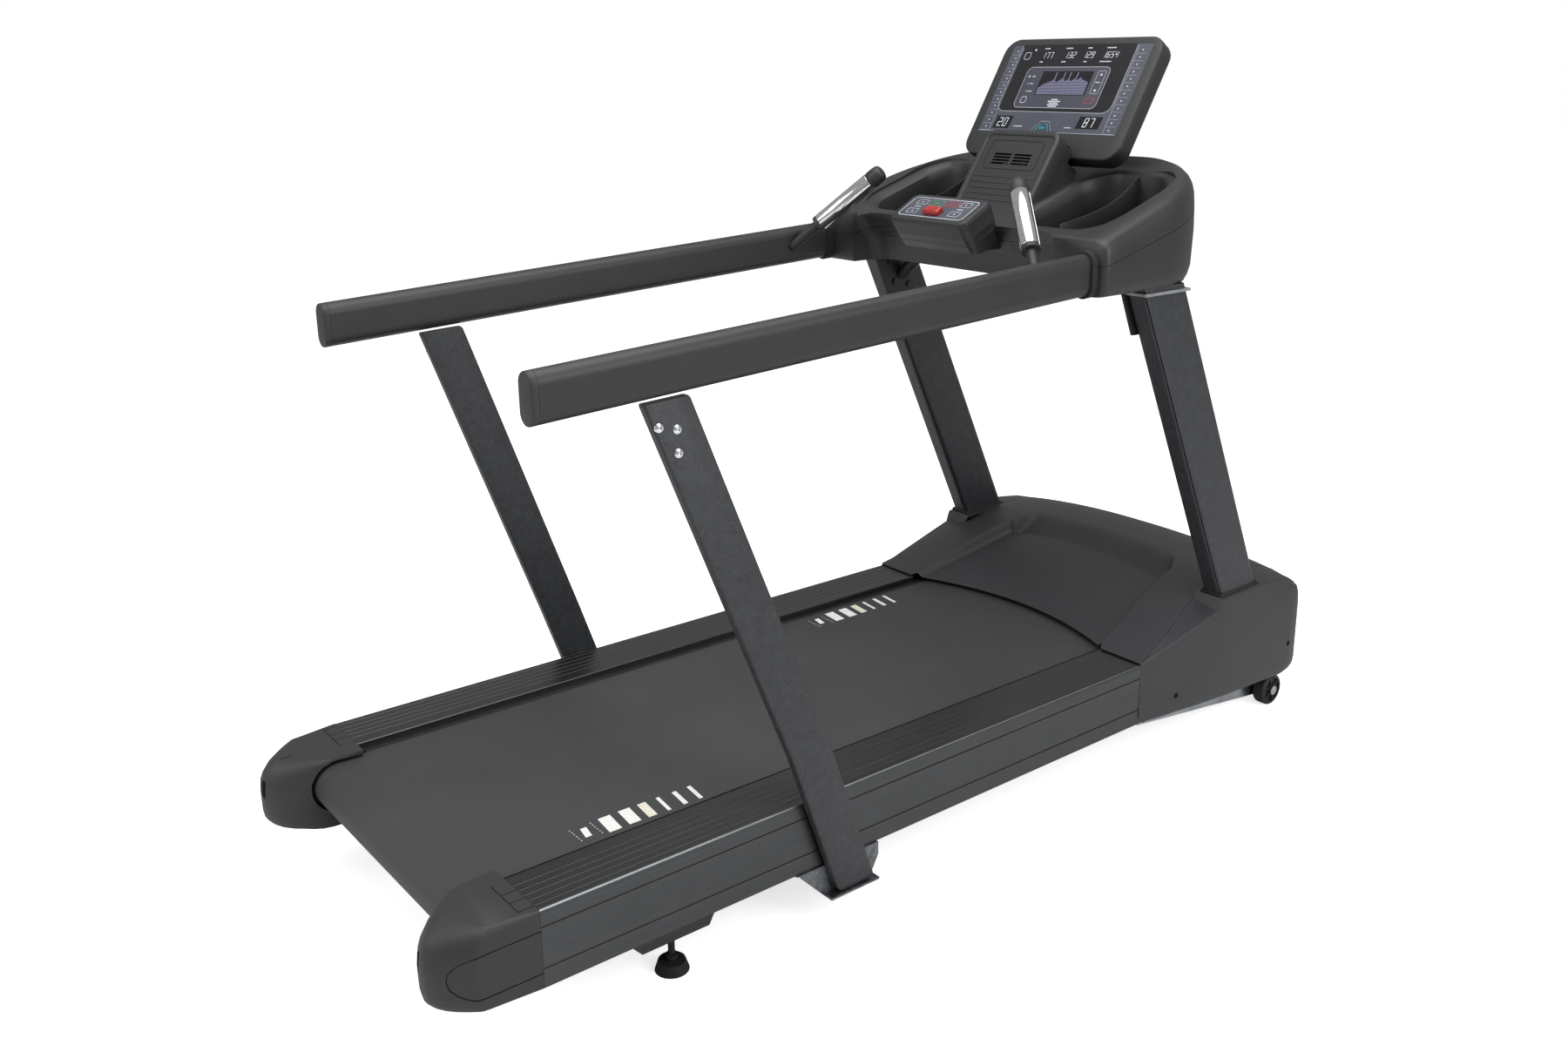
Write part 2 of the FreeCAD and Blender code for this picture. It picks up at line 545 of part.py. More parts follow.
def levelling_feet():
    stem = rod("z", FOOT_STEM, (FOOT_X, FOOT_Y, 18), 100)
    pad = Part.makeCone(30, 24, 18, Vector(FOOT_X, FOOT_Y, 0), AXES["z"])
    nut = rod("z", 10, (FOOT_X, FOOT_Y, 22), 8)
    save_pair("levelling_foot", pad.fuse(stem).fuse(nut))


# ---------------------------------------------------------------- uprights, rails, struts
def uprights():
    tube = rounded(upright_prism(0, UPRIGHT_BOTTOM, UPRIGHT_TOP), 12,
                   lambda edge: abs(abs(edge.Vertexes[-1].Point.z - edge.Vertexes[0].Point.z)
                                    - (UPRIGHT_TOP - UPRIGHT_BOTTOM)) < 1)
    tube = tube.cut(upright_prism(-WALL, UPRIGHT_BOTTOM - 5, UPRIGHT_TOP + 5))
    inner_x = UPRIGHT_X - UPRIGHT_THICK / 2
    for y, z in upright_bolt_places():
        tube = tube.cut(rod("x", 5.5, (inner_x - 5, y, z), 20))
    save_pair("upright", tube)
    plate = side_prism([(845, 134), (1010, 134), (985, 218), (825, 218)], TUBE_OUT, inner_x)
    fittings = []
    for y, z in upright_bolt_places():
        plate = plate.cut(rod("x", 5.5, (TUBE_OUT - 5, y, z), 20))
        bolt = rod("x", 5, (TUBE_IN - 6, y, z), inner_x + 10 - TUBE_IN + 6)
        fittings.append(bolt.fuse(rod("x", 9, (TUBE_IN - 6, y, z), 6)))
    fittings.append(plate)
    save("upright_mounts", [s for fitting in fittings for s in pair(fitting)])
    ring = upright_prism(4, 1046, 1052).cut(upright_prism(0.3, 1040, 1060))
    ring = ring.cut(block(inner_x - 10, inner_x, 300, 700, 1040, 1060))
    save("upright_trim_rings", pair(ring))


def handrails():
    rail = handrail_form(0, HANDRAIL_REAR + 12, HANDRAIL_FRONT)
    rail = rail.cut(handrail_form(-2.5, HANDRAIL_REAR + 10, HANDRAIL_FRONT + 5))
    save_pair("handrail", rail)
    cap = handrail_form(0, HANDRAIL_REAR, HANDRAIL_REAR + 12)
    plug = handrail_form(-2.7, HANDRAIL_REAR + 12, HANDRAIL_REAR + 30)
    save("handrail_end_caps", pair(cap.fuse(plug)))
    collar = handrail_form(5, COLLAR_Y - 22, COLLAR_Y + 4)
    collar = collar.cut(handrail_form(0.2, COLLAR_Y - 30, COLLAR_Y + 10))
    save("handrail_collars", pair(collar))


def struts():
    bottom = 64.0
    low = [(-357, bottom), (-272, bottom), (-366, STRUT_BEND_Z), (-451, STRUT_BEND_Z)]
    high = [(-366, STRUT_BEND_Z), (-451, STRUT_BEND_Z), (-696, 1000), (-612, 1004)]
    lower = side_prism(low, STRUT_X0, STRUT_X1)
    lower = rounded(lower, 12, lambda edge: edge.BoundBox.ZMax < bottom + 1
                    and edge.BoundBox.XLength > 5)
    upper = side_prism([high[1], high[0], high[3], high[2]], STRUT_X0, STRUT_X1)
    upper.rotate(Vector(STRUT_X1, 0, STRUT_BEND_Z), AXES["y"], -STRUT_TIP)
    strut = lower.fuse(upper).removeSplitter()
    save_pair("strut", strut)

    plate = side_prism([(-430, SKIRT_BOTTOM - 0.5), (-374, 57), (-262, 57), (-244, 90),
                        (-244, SKIRT_BOTTOM - 0.5)], RAIL_OUT, STRUT_X0)
    shelf = block(TUBE_IN, RAIL_OUT, -430, -244, SKIRT_BOTTOM - 4.5, SKIRT_BOTTOM - 0.5)
    packer = block(TUBE_IN, TUBE_OUT, -430, -244, SKIRT_BOTTOM - 0.5, TUBE_BOTTOM)
    lip = block(STRUT_X0, STRUT_X1 + 4, -374, -262, 57, 61)
    save("strut_brackets", pair(plate.fuse(shelf).fuse(packer).fuse(lip)))

    bolts = []
    for y, z in ((-672, 962), (-640, 955), (-640, 918)):
        lean = math.tan(math.radians(STRUT_TIP)) * (z - STRUT_BEND_Z)
        outer_face = STRUT_X1 - lean
        head = Part.makeSphere(8.5, Vector(outer_face - 4, y, z))
        head = head.cut(strut).cut(block(outer_face - 30, outer_face - 3, y - 10, y + 10,
                                         z - 10, z + 10))
        bolts.append(head)
    save("strut_bolts", [s for bolt in bolts for s in pair(bolt)])


# ---------------------------------------------------------------- console
def console_frame():
    inner_x = UPRIGHT_X - UPRIGHT_THICK / 2
    plate = side_prism([(468, 960), (560, 960), (520, 1062), (425, 1062)], inner_x - 6, inner_x)
    saddle = side_prism([(400, 1062), (520, 1062), (500, 1130), (400, 1130)], inner_x - 9.5,
                        inner_x - 3.5)
    bar = rod("x", 16, (-(inner_x - 9.5), 520, 1096), 2 * (inner_x - 9.5))
    start = Vector(inner_x - 6, 515, 1000)
    end = Vector(262, 520, 1090)
    run = end.sub(start)
    brace = Part.makeCylinder(14, run.Length, start, run)
    brace = brace.cut(block(inner_x - 6, inner_x + 20, 400, 600, 900, 1100))
    column = side_prism([(520, 1096), (610, 1096), (612, 1262), (586, 1250), (580, 1110),
                         (520, 1110)], -60, 60)
    backbone = leaned(block(-60, 60, 46, 54, -160, -20), DISPLAY_TILT, DISPLAY_CENTER)
    frame = bar.fuse(column).fuse(backbone)
    for piece in (plate, saddle, brace):
        frame = frame.fuse(piece).fuse(mirrored(piece))
    bolt_x = inner_x - 10
    for y, z in ((495, 985), (540, 975), (478, 1035)):
        bolt = rod("x", 8, (bolt_x, y, z), 5)
        frame = frame.fuse(bolt).fuse(mirrored(bolt))
    save("console_frame", frame)


def console_plan(inward):
    """The console's outline from above, moved inwards by a distance."""
    half = CONSOLE_HALF - inward
    user_y = COLLAR_Y - 6 + inward
    back_y = 722.0 - inward
    corner = 235.0 - inward

    def at(x, y):
        return Vector(x, y, 900)

    turn = corner * (1 - math.sqrt(0.5))
    edges = [
        Part.LineSegment(at(-half, user_y), at(half, user_y)).toShape(),
        Part.LineSegment(at(half, user_y), at(half, back_y - corner)).toShape(),
        Part.Arc(at(half, back_y - corner), at(half - turn, back_y - turn),
                 at(half - corner, back_y)).toShape(),
        Part.LineSegment(at(half - corner, back_y), at(-half + corner, back_y)).toShape(),
        Part.Arc(at(-half + corner, back_y), at(-half + turn, back_y - turn),
                 at(-half, back_y - corner)).toShape(),
        Part.LineSegment(at(-half, back_y - corner), at(-half, user_y)).toShape(),
    ]
    return Part.Face(Part.Wire(edges)).extrude(Vector(0, 0, 600))


def bowl(grow):
    """The right-hand storage bowl, from above."""
    hole = block(138 - grow, 332 + grow, 408 - grow, 632 + grow, 1130 - grow, 1400)
    return rounded(hole, 50 + grow, along("z"))


def console_shells():
    body = [(280, CONSOLE_BOTTOM), (280, 1160), (310, 1166), (690, 1294), (722, 1292),
            (730, 1250), (700, 1180), (645, 1100), (590, CONSOLE_BOTTOM)]
    inner = [(283, CONSOLE_BOTTOM + WALL), (283, 1157), (310, 1163), (690, 1291), (720, 1288),
             (727, 1250), (697, 1181), (642, 1102), (588, CONSOLE_BOTTOM + WALL)]
    solid = side_prism(body, -500, 500).common(console_plan(0))
    hollow = side_prism(inner, -500, 500).common(console_plan(WALL))
    front_notch = block(-300, 300, 280, 398, 1000, 1400)
    front_notch_shell = block(-300 - WALL, 300 + WALL, 280, 398 + WALL, 1000, 1400)
    solid = solid.cut(front_notch)
    hollow = hollow.cut(front_notch_shell)
    seam = side_prism([(250, 1102), (760, 1238), (760, 1500), (250, 1500)], -500, 500)
    shell = solid.cut(hollow)
    upper = shell.common(seam)
    lower = shell.cut(seam)
    for side in (1, -1):
        cup, room = bowl(WALL), bowl(0)
        rib = side_prism([(400, 1132), (640, 1132), (640, 1262), (560, 1205), (400, 1190)],
                         236, 239)
        if side < 0:
            cup, room, rib = mirrored(cup), mirrored(room), mirrored(rib)
        upper = upper.fuse(cup.common(solid)).cut(room)
        upper = upper.fuse(rib.common(room))
    neck_hole = block(-111, 111, 418, 622, 1150, 1400)
    upper = upper.cut(neck_hole)
    rail_way = handrail_form(5.2, 250, COLLAR_Y + 6).fuse(handrail_form(0.5, 250, 480))
    for way in pair(rail_way):
        upper = upper.cut(way)
        lower = lower.cut(way)
    plate_way = block(361, 374, 398, 566, 1000, 1140)
    brace_way = block(255, 366, 496, 538, 1040, 1090)
    for way in pair(upright_prism(4.5, 1000, 1090)) + pair(plate_way) + pair(brace_way):
        lower = lower.cut(way)
    save("console_upper_shell", upper.removeSplitter())
    save("console_lower_shell", lower.removeSplitter())


def neck():
    wide, tall, deep = 218.0, 196.0, 34.0
    front = panel(wide, tall, deep, 26)
    front = front.cut(block(-wide / 2 + WALL, wide / 2 - WALL, WALL, deep + 1,
                            -tall / 2 + WALL, tall / 2 - WALL))
    vent = block(-50, 50, -1, WALL + 1, 24, 58)
    fan_bar = block(-wide / 2 + WALL, wide / 2 - WALL, 27, 30, 33, 49)
    fan_pin = rod("y", 2.5, (0, 7, 41), 22)
    front = front.cut(vent).fuse(fan_bar).fuse(fan_pin)
    save("neck_front_cover", leaned(front, NECK_TILT, NECK_CENTER))
    grille = block(-50, 50, 0, WALL, 24, 58)
    for step in range(4):
        z = 27.5 + 7.5 * step
        grille = grille.cut(block(-46, -4, -1, WALL + 1, z, z + 4.5))
        grille = grille.cut(block(4, 46, -1, WALL + 1, z, z + 4.5))
    save("fan_grille", leaned(grille, NECK_TILT, NECK_CENTER))
    hub = rod("y", 4, (0, 9, 41), 16)
    fan = rod("y", 24, (0, 21, 41), 2).fuse(hub)
    for step in range(8):
        blade = block(5, 23, 9, 21, 40.2, 41.8)
        blade.rotate(Vector(0, 0, 41), AXES["y"], 45 * step)
        fan = fan.fuse(blade)
    fan = fan.cut(rod("y", 2.5 + PIVOT_FIT, (0, 5, 41), 30))
    save("fan_impeller", leaned(fan, NECK_TILT, NECK_CENTER))
    back = panel(wide - 8, tall - 8, 60, 22)
    back = back.cut(block(-wide / 2 + 8, wide / 2 - 8, -1, 60 - WALL,
                          -tall / 2 + 8, tall / 2 - 8))
    back.translate(Vector(0, deep, 0))
    back = leaned(back, NECK_TILT, NECK_CENTER)
    back = back.cut(leaned(panel(470, 315, 80, 40), DISPLAY_TILT, DISPLAY_CENTER))
    back = back.cut(block(-62, 62, 498, 542, 1000, 1302))
    save("neck_back_cover", back)


def display():
    wide, tall = 448.0, 293.0
    front = panel(wide, tall, 18, 38)
    front = front.cut(panel(396, 217, 3, 6).translated(Vector(0, -1, 20)))
    front = front.cut(block(-wide / 2 + 12, wide / 2 - 12, 7, 19, -tall / 2 + 12, tall / 2 - 12))
    save("display_front_housing", leaned(front, DISPLAY_TILT, DISPLAY_CENTER))
    overlay = panel(396, 217, 2, 6).translated(Vector(0, 0, 20))
    save("display_overlay", leaned(overlay, DISPLAY_TILT, DISPLAY_CENTER))
    board = block(-180, 180, 9, 11, -70, 120)
    posts = [block(x, x + 8, 7, 9, z, z + 8) for x in (-178, 170) for z in (-68, 110)]
    for post in posts:
        board = board.fuse(post)
    save("display_board", leaned(board, DISPLAY_TILT, DISPLAY_CENTER))
    back = panel(wide, tall, 28, 38).translated(Vector(0, 18, 0))
    back = rounded(back, 10, lambda edge: edge.BoundBox.YMin > 45)
    back = back.cut(block(-wide / 2 + 14, wide / 2 - 14, 17, 43, -tall / 2 + 14, tall / 2 - 14))
    save("display_back_cover", leaned(back, DISPLAY_TILT, DISPLAY_CENTER))


def pod():
    deep = 90.0
    body = panel(226, 96, deep, 18)
    body = body.cut(panel(194, 70, 2, 12).translated(Vector(0, -1, 0)))
    body = body.cut(block(-109, 109, 5, deep + 1, -44, 44))
    body = leaned(body, POD_TILT, POD_CENTER)
    body = body.cut(block(-200, 200, 0, 600, 900, 1112))
    link = block(-90, 90, 330, 401 + WALL, 1112, 1160).cut(
        block(-87, 87, 320, 410, 1115, 1157))
    body = body.fuse(link.cut(leaned(panel(226, 96, deep, 18), POD_TILT, POD_CENTER)))
    save("pod_housing", body.cut(block(-300, 300, 398, 500, 1000, 1400)))
    save("pod_overlay", leaned(panel(194, 70, 1, 12), POD_TILT, POD_CENTER))
    key = panel(44, 22, 12, 4).translated(Vector(0, -12, -16))
    save("safety_key", leaned(key, POD_TILT, POD_CENTER))


def grips():
    base = Vector(341, 205, 1122)
    top = Vector(203, 302, 1259)
    run = top.sub(base)
    axis = Vector(run).normalize()
    root = Vector(HANDRAIL_X - HANDRAIL_WIDE / 2, 186, handrail_top(186) - 42)
    tube = Part.makeCylinder(11, base.sub(root).Length, root, base.sub(root))
    tube = tube.fuse(Part.makeSphere(11, base))
    tube = tube.fuse(Part.makeCylinder(11, run.Length - 6, base, axis))
    tube = tube.cut(block(HANDRAIL_X - HANDRAIL_WIDE / 2, 500, 0, 400, 1000, 1200))
    body_start = base.add(axis * 34)
    length = run.Length - 34

    def collar(radius, bore, start, height):
        shape = Part.makeCylinder(radius, height, start, axis)
        return shape.cut(Part.makeCylinder(bore, height, start, axis)) if bore else shape

    body = collar(18, 11, body_start, length - 6).fuse(
        collar(18, 0, top.sub(axis * 6), 12))
    side_dir = axis.cross(AXES["x"]).normalize()
    plates = []
    for sign in (1, -1):
        outer = collar(19.2, 18, body_start.add(axis * 10), length - 40)
        center = base.add(side_dir * (sign * 22))
        cutter = Part.makeCylinder(16, length + 60, center, axis)
        plates.append(outer.common(cutter))
    save("grip_tubes", pair(tube))
    save("grip_bodies", pair(body))
    save("grip_sensor_plates", [s for plate in plates for s in pair(plate)])


frame_side_tubes()
frame_crossmembers()
deck()
rollers()
side_rail()
rear_end_cap()
hood()
motor()
power_inlet()
lift()
levelling_feet()
uprights()
handrails()
struts()
console_frame()
console_shells()
neck()
display()
pod()
grips()
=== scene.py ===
import math

import bmesh
import bpy
from mathutils import Matrix, Vector
from mathutils.kdtree import KDTree


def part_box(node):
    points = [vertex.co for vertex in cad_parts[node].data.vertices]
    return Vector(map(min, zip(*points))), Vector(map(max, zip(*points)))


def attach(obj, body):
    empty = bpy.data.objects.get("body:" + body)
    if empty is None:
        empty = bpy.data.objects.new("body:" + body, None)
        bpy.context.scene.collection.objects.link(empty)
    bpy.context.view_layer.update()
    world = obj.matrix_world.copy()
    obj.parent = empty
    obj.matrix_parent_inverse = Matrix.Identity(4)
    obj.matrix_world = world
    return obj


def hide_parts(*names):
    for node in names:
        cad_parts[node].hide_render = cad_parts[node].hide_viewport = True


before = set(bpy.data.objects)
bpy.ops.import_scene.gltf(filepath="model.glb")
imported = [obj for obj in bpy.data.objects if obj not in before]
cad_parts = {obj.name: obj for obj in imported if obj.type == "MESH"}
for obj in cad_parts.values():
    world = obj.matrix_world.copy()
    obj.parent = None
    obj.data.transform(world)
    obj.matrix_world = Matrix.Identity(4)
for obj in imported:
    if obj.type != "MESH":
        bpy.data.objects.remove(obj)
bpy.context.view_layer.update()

# ------------------------------------------------------------------ studio
# A plain pale sweep of painted board with soft boxes over it: an even, shadow-poor light as in a
# product catalogue. The floor is flat and runs on far past the machine.


def linear(code):
    """Turns an sRGB hex colour into the linear colour that a shader takes."""
    parts = [int(code[i:i + 2], 16) / 255 for i in (1, 3, 5)]
    return [c / 12.92 if c <= 0.04045 else ((c + 0.055) / 1.055) ** 2.4 for c in parts] + [1]


def add_node(tree, kind, settings=None, links=None):
    """Adds a node, gives its properties and sockets their values, and links outputs into it."""
    made = tree.nodes.new(kind)
    for key, value in (settings or {}).items():
        if isinstance(key, str) and hasattr(made, key):
            setattr(made, key, value)
        else:
            made.inputs[key].default_value = value
    for key, output in (links or {}).items():
        tree.links.new(output, made.inputs[key])
    return made


def new_material(name):
    """An empty node material, its tree and its output node."""
    made = bpy.data.materials.new(name)
    made.use_nodes = True
    made.node_tree.nodes.clear()
    return made, made.node_tree, made.node_tree.nodes.new("ShaderNodeOutputMaterial")


def grained(name, dark, light, grain_mm, rough, bump_mm=0.0, stretch=(1, 1, 1), metallic=0.0,
            broad_mm=60.0, spread=0.35, fixed=None):
    """A surface whose colour, roughness and height all follow one grain of a real size: dark and
    light are its two tones, rough its least and most roughness, stretch draws the grain out."""
    made, tree, out = new_material(name)
    place = add_node(tree, "ShaderNodeTexCoord")
    drawn = add_node(tree, "ShaderNodeMapping", {"Scale": [1 / s for s in stretch]},
                     {"Vector": place.outputs["Object"]})
    fine = add_node(tree, "ShaderNodeTexNoise", {"Scale": 1000 / grain_mm, "Detail": 3.0},
                    {"Vector": drawn.outputs["Vector"]})
    broad = add_node(tree, "ShaderNodeTexNoise", {"Scale": 1000 / broad_mm, "Detail": 2.0},
                     {"Vector": place.outputs["Object"]})
    both = add_node(tree, "ShaderNodeMix", {"Factor": spread},
                    {2: fine.outputs["Fac"], 3: broad.outputs["Fac"]})
    tone = add_node(tree, "ShaderNodeValToRGB", links={"Fac": both.outputs[0]})
    tone.color_ramp.elements[0].position = 0.35
    tone.color_ramp.elements[0].color = linear(dark)
    tone.color_ramp.elements[1].position = 0.65
    tone.color_ramp.elements[1].color = linear(light)
    gloss = add_node(tree, "ShaderNodeMapRange", {"From Min": 0.3, "From Max": 0.7,
                     "To Min": rough[0], "To Max": rough[1]}, {"Value": both.outputs[0]})
    shader = add_node(tree, "ShaderNodeBsdfPrincipled", {"Metallic": metallic, **(fixed or {})},
                      {"Base Color": tone.outputs["Color"], "Roughness": gloss.outputs["Result"]})
    if bump_mm:
        bump = add_node(tree, "ShaderNodeBump", {"Strength": 1.0, "Distance": bump_mm / 1000},
                        {"Height": fine.outputs["Fac"]})
        tree.links.new(bump.outputs["Normal"], shader.inputs["Normal"])
    tree.links.new(shader.outputs["BSDF"], out.inputs["Surface"])
    return made


def finish_node(material, *names):
    """Gives carried-over parts of the frame their surface."""
    for name in names:
        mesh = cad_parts[name].data
        mesh.materials.clear()
        mesh.materials.append(material)


bpy.ops.object.select_all(action="DESELECT")
bpy.ops.mesh.primitive_grid_add(x_subdivisions=2, y_subdivisions=2, size=60, location=(0, 0, 0))
floor = bpy.context.object
floor.name = "studio_floor"
# Matt white emulsion on board, lit from below in places, so that it stays white to the camera.
made, tree, out = new_material("matt_white_emulsion")
path = add_node(tree, "ShaderNodeLightPath")
place = add_node(tree, "ShaderNodeTexCoord")
roller = add_node(tree, "ShaderNodeTexNoise", {"Scale": 160.0, "Detail": 2.0},
                  {"Vector": place.outputs["Object"]})
bump = add_node(tree, "ShaderNodeBump", {"Strength": 0.2, "Distance": 0.0002},
                {"Height": roller.outputs["Fac"]})
paint = add_node(tree, "ShaderNodeBsdfDiffuse", {"Color": linear("#ececec"), "Roughness": 0.5},
                 {"Normal": bump.outputs["Normal"]})
glow = add_node(tree, "ShaderNodeMath", {"operation": "MULTIPLY", 1: 0.72},
                {0: path.outputs["Is Camera Ray"]})
backlight = add_node(tree, "ShaderNodeEmission", {}, {"Strength": glow.outputs[0]})
both = add_node(tree, "ShaderNodeAddShader", {}, {0: paint.outputs[0], 1: backlight.outputs[0]})
tree.links.new(both.outputs[0], out.inputs["Surface"])
floor.data.materials.append(made)

world = bpy.data.worlds.new("studio_air")
bpy.context.scene.world = world
world.use_nodes = True
air = world.node_tree
path = add_node(air, "ShaderNodeLightPath")
level_of = add_node(air, "ShaderNodeMapRange", {"To Min": 0.42, "To Max": 1.0},
                    {"Value": path.outputs["Is Camera Ray"]})
air.nodes["Background"].inputs["Color"].default_value = linear("#ffffff")
air.links.new(level_of.outputs["Result"], air.nodes["Background"].inputs["Strength"])

SOFT_BOXES = [                     # name, place, size, watts
    ("overhead_box", (0.4, -0.3, 3.6), 3.2, 110),
    ("side_box", (3.4, 0.6, 2.2), 2.0, 60),
    ("rear_box", (-1.2, -3.6, 2.4), 2.0, 45),
]
for name, place, size, watts in SOFT_BOXES:
    bpy.ops.object.light_add(type="AREA", location=place)
    box_light = bpy.context.object
    box_light.name = name
    box_light.data.size = size
    box_light.data.energy = watts
    aim = Vector((0, 0, 0.6)) - Vector(place)
    box_light.rotation_euler = aim.to_track_quat("-Z", "Y").to_euler()

# ------------------------------------------------------------------ camera
# A long-lens camera at the user's right shoulder height, turned 51 degrees off the belt's line.
AZIMUTH, ELEVATION, ROLL = (math.radians(a) for a in (50.953, 15.526, -0.3315))
backwards = Vector((math.sin(AZIMUTH) * math.cos(ELEVATION),
                    -math.cos(AZIMUTH) * math.cos(ELEVATION), math.sin(ELEVATION)))
level = Vector((0, 0, 1)).cross(backwards).normalized()
upwards = backwards.cross(level)
right = level * math.cos(ROLL) + upwards * math.sin(ROLL)
top = upwards * math.cos(ROLL) - level * math.sin(ROLL)
bpy.ops.object.camera_add(location=(2.15413, -1.78076, 1.48134))
camera = bpy.context.object
camera.rotation_euler = Matrix((right, top, backwards)).transposed().to_euler()
camera.data.lens = 32.6
camera.data.sensor_width = 36
camera.data.shift_x = -0.02374
camera.data.shift_y = -0.03914
bpy.context.scene.camera = camera
bpy.context.scene.view_settings.view_transform = "Standard"

# ------------------------------------------------------------------ chassis
# The welded chassis of square tube, its crossmembers and the lift frame's hangers: mild steel under
# a satin black powder coat, which gives a fine orange-peel skin and a soft sheen.
frame_coat = grained("satin_black_powder_coat", "#151618", "#1f2022", 1.6, (0.42, 0.55), 0.05)
finish_node(frame_coat, "frame_side_tubes", "frame_crossmembers", "console_frame")
# Turned and zinc-plated steel: bright, with fine turning lines round the part.
plated_steel = grained("zinc_plated_steel", "#8d9094", "#c3c6ca", 2.0, (0.22, 0.38), 0.01,
                       stretch=(6, 1, 1), metallic=1.0)
finish_node(plated_steel, "rear_roller", "front_roller", "roller_axles", "belt_tension_bolts",
            "motor_rotor", "lift_screw", "upright_mounts")
# The deck is medium-density board with a black phenolic face: fibres show as short flecks.
finish_node(grained("phenolic_faced_board", "#1c1a18", "#2a2724", 3.0, (0.35, 0.5), 0.02,
                    stretch=(1, 5, 1)), "running_deck")
# Nitrile rubber, moulded: matt, with a little bloom.
soft_rubber = grained("moulded_nitrile_rubber", "#101011", "#1b1b1c", 1.2, (0.7, 0.85), 0.04)
finish_node(soft_rubber, "deck_cushions")
finish_node(grained("ribbed_drive_belt_rubber", "#0d0d0e", "#191919", 1.0, (0.6, 0.75), 0.08,
                    stretch=(1, 12, 12)), "drive_belt")
# Enamelled castings of the two motors, and the finned aluminium of the motor controller.
finish_node(grained("grey_motor_enamel", "#2d3033", "#3a3e42", 2.2, (0.3, 0.45), 0.05),
            "motor_body", "lift_motor")
finish_node(grained("milled_aluminium", "#9a9da0", "#bfc2c4", 0.8, (0.3, 0.45), 0.02,
                    stretch=(1, 20, 1), metallic=1.0), "motor_controller")

# ------------------------------------------------------------------ running belt
# A two-ply belt of woven polyester with a black PVC top, embossed with a fine diamond so that shoes
# grip it. Two rows of bars are printed on it in pale ink. It is stretched over both rollers.
BELT_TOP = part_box("running_belt")[1].z * 1000
EMBOSS_MM = 3.0                    # the real diamonds are 1.5 mm apart, drawn twice as coarse to show


def belt_surface():
    made, tree, out = new_material("embossed_pvc_belting")
    place = add_node(tree, "ShaderNodeTexCoord")
    turned = add_node(tree, "ShaderNodeMapping", {"Rotation": (0, 0, math.radians(45))},
                      {"Vector": place.outputs["Object"]})
    heights = []
    for axis in ("X", "Y"):
        wave = add_node(tree, "ShaderNodeTexWave", {"wave_type": "BANDS", "bands_direction": axis,
                        "Scale": 1000 / EMBOSS_MM / 20 * math.pi, "Distortion": 0.0},
                        {"Vector": turned.outputs["Vector"]})
        heights.append(wave.outputs["Fac"])
    weave = add_node(tree, "ShaderNodeMath", {"operation": "MULTIPLY"},
                     {0: heights[0], 1: heights[1]})
    wear = add_node(tree, "ShaderNodeTexNoise", {"Scale": 3.5, "Detail": 3.0},
                    {"Vector": place.outputs["Object"]})
    tone = add_node(tree, "ShaderNodeValToRGB", links={"Fac": wear.outputs["Fac"]})
    tone.color_ramp.elements[0].position = 0.3
    tone.color_ramp.elements[0].color = linear("#2d2e2f")
    tone.color_ramp.elements[1].position = 0.7
    tone.color_ramp.elements[1].color = linear("#343536")
    bump = add_node(tree, "ShaderNodeBump", {"Strength": 0.6, "Distance": 0.00015},
                    {"Height": weave.outputs[0]})
    shader = add_node(tree, "ShaderNodeBsdfPrincipled", {"Roughness": 0.62},
                      {"Base Color": tone.outputs["Color"], "Normal": bump.outputs["Normal"]})
    tree.links.new(shader.outputs["BSDF"], out.inputs["Surface"])
    return made


finish_node(belt_surface(), "running_belt")


def mm(point):
    return Vector(point) / 1000


def begin(name):
    """Starts a piece at the origin: an empty mesh, open for editing."""
    bpy.ops.object.select_all(action="DESELECT")
    bpy.ops.mesh.primitive_plane_add(location=(0, 0, 0))
    piece = bpy.context.object
    piece.name = piece.data.name = name
    bpy.ops.object.mode_set(mode="EDIT")
    bpy.ops.mesh.delete(type="VERT")
    return piece


def ring(points):
    """Adds a ring primitive with a corner at each of the points, in millimetres, and selects it."""
    bpy.ops.mesh.select_all(action="DESELECT")
    bpy.ops.mesh.primitive_circle_add(vertices=len(points), radius=0.01)
    data = bpy.context.object.data
    mesh = bmesh.from_edit_mesh(data)
    corners = sorted((v for v in mesh.verts if v.select),
                     key=lambda corner: math.atan2(corner.co.y, corner.co.x))
    for corner, point in zip(corners, points):
        corner.co = mm(point)
    bmesh.update_edit_mesh(data)


def loft(rings, hollow=False):
    """Extrudes the first ring through the others, filled at both ends unless it is hollow."""
    ring(rings[0])
    if not hollow:
        bpy.ops.mesh.edge_face_add()
    data = bpy.context.object.data
    for before, after in zip(rings, rings[1:]):
        if hollow:
            bpy.ops.mesh.extrude_edges_move()
        else:
            bpy.ops.mesh.extrude_region_move()
        mesh = bmesh.from_edit_mesh(data)
        spots = KDTree(len(before))
        for index, point in enumerate(before):
            spots.insert(mm(point), index)
        spots.balance()
        for corner in [v for v in mesh.verts if v.select]:
            corner.co = mm(after[spots.find(corner.co)[1]])
        bmesh.update_edit_mesh(data)


def modify(piece, kind, **settings):
    """Adds a modifier with its settings and applies it."""
    bpy.ops.object.select_all(action="DESELECT")
    piece.select_set(True)
    bpy.context.view_layer.objects.active = piece
    bpy.ops.object.modifier_add(type=kind)
    added = piece.modifiers[-1]
    for key, value in settings.items():
        setattr(added, key, value)
    bpy.ops.object.modifier_apply(modifier=added.name)


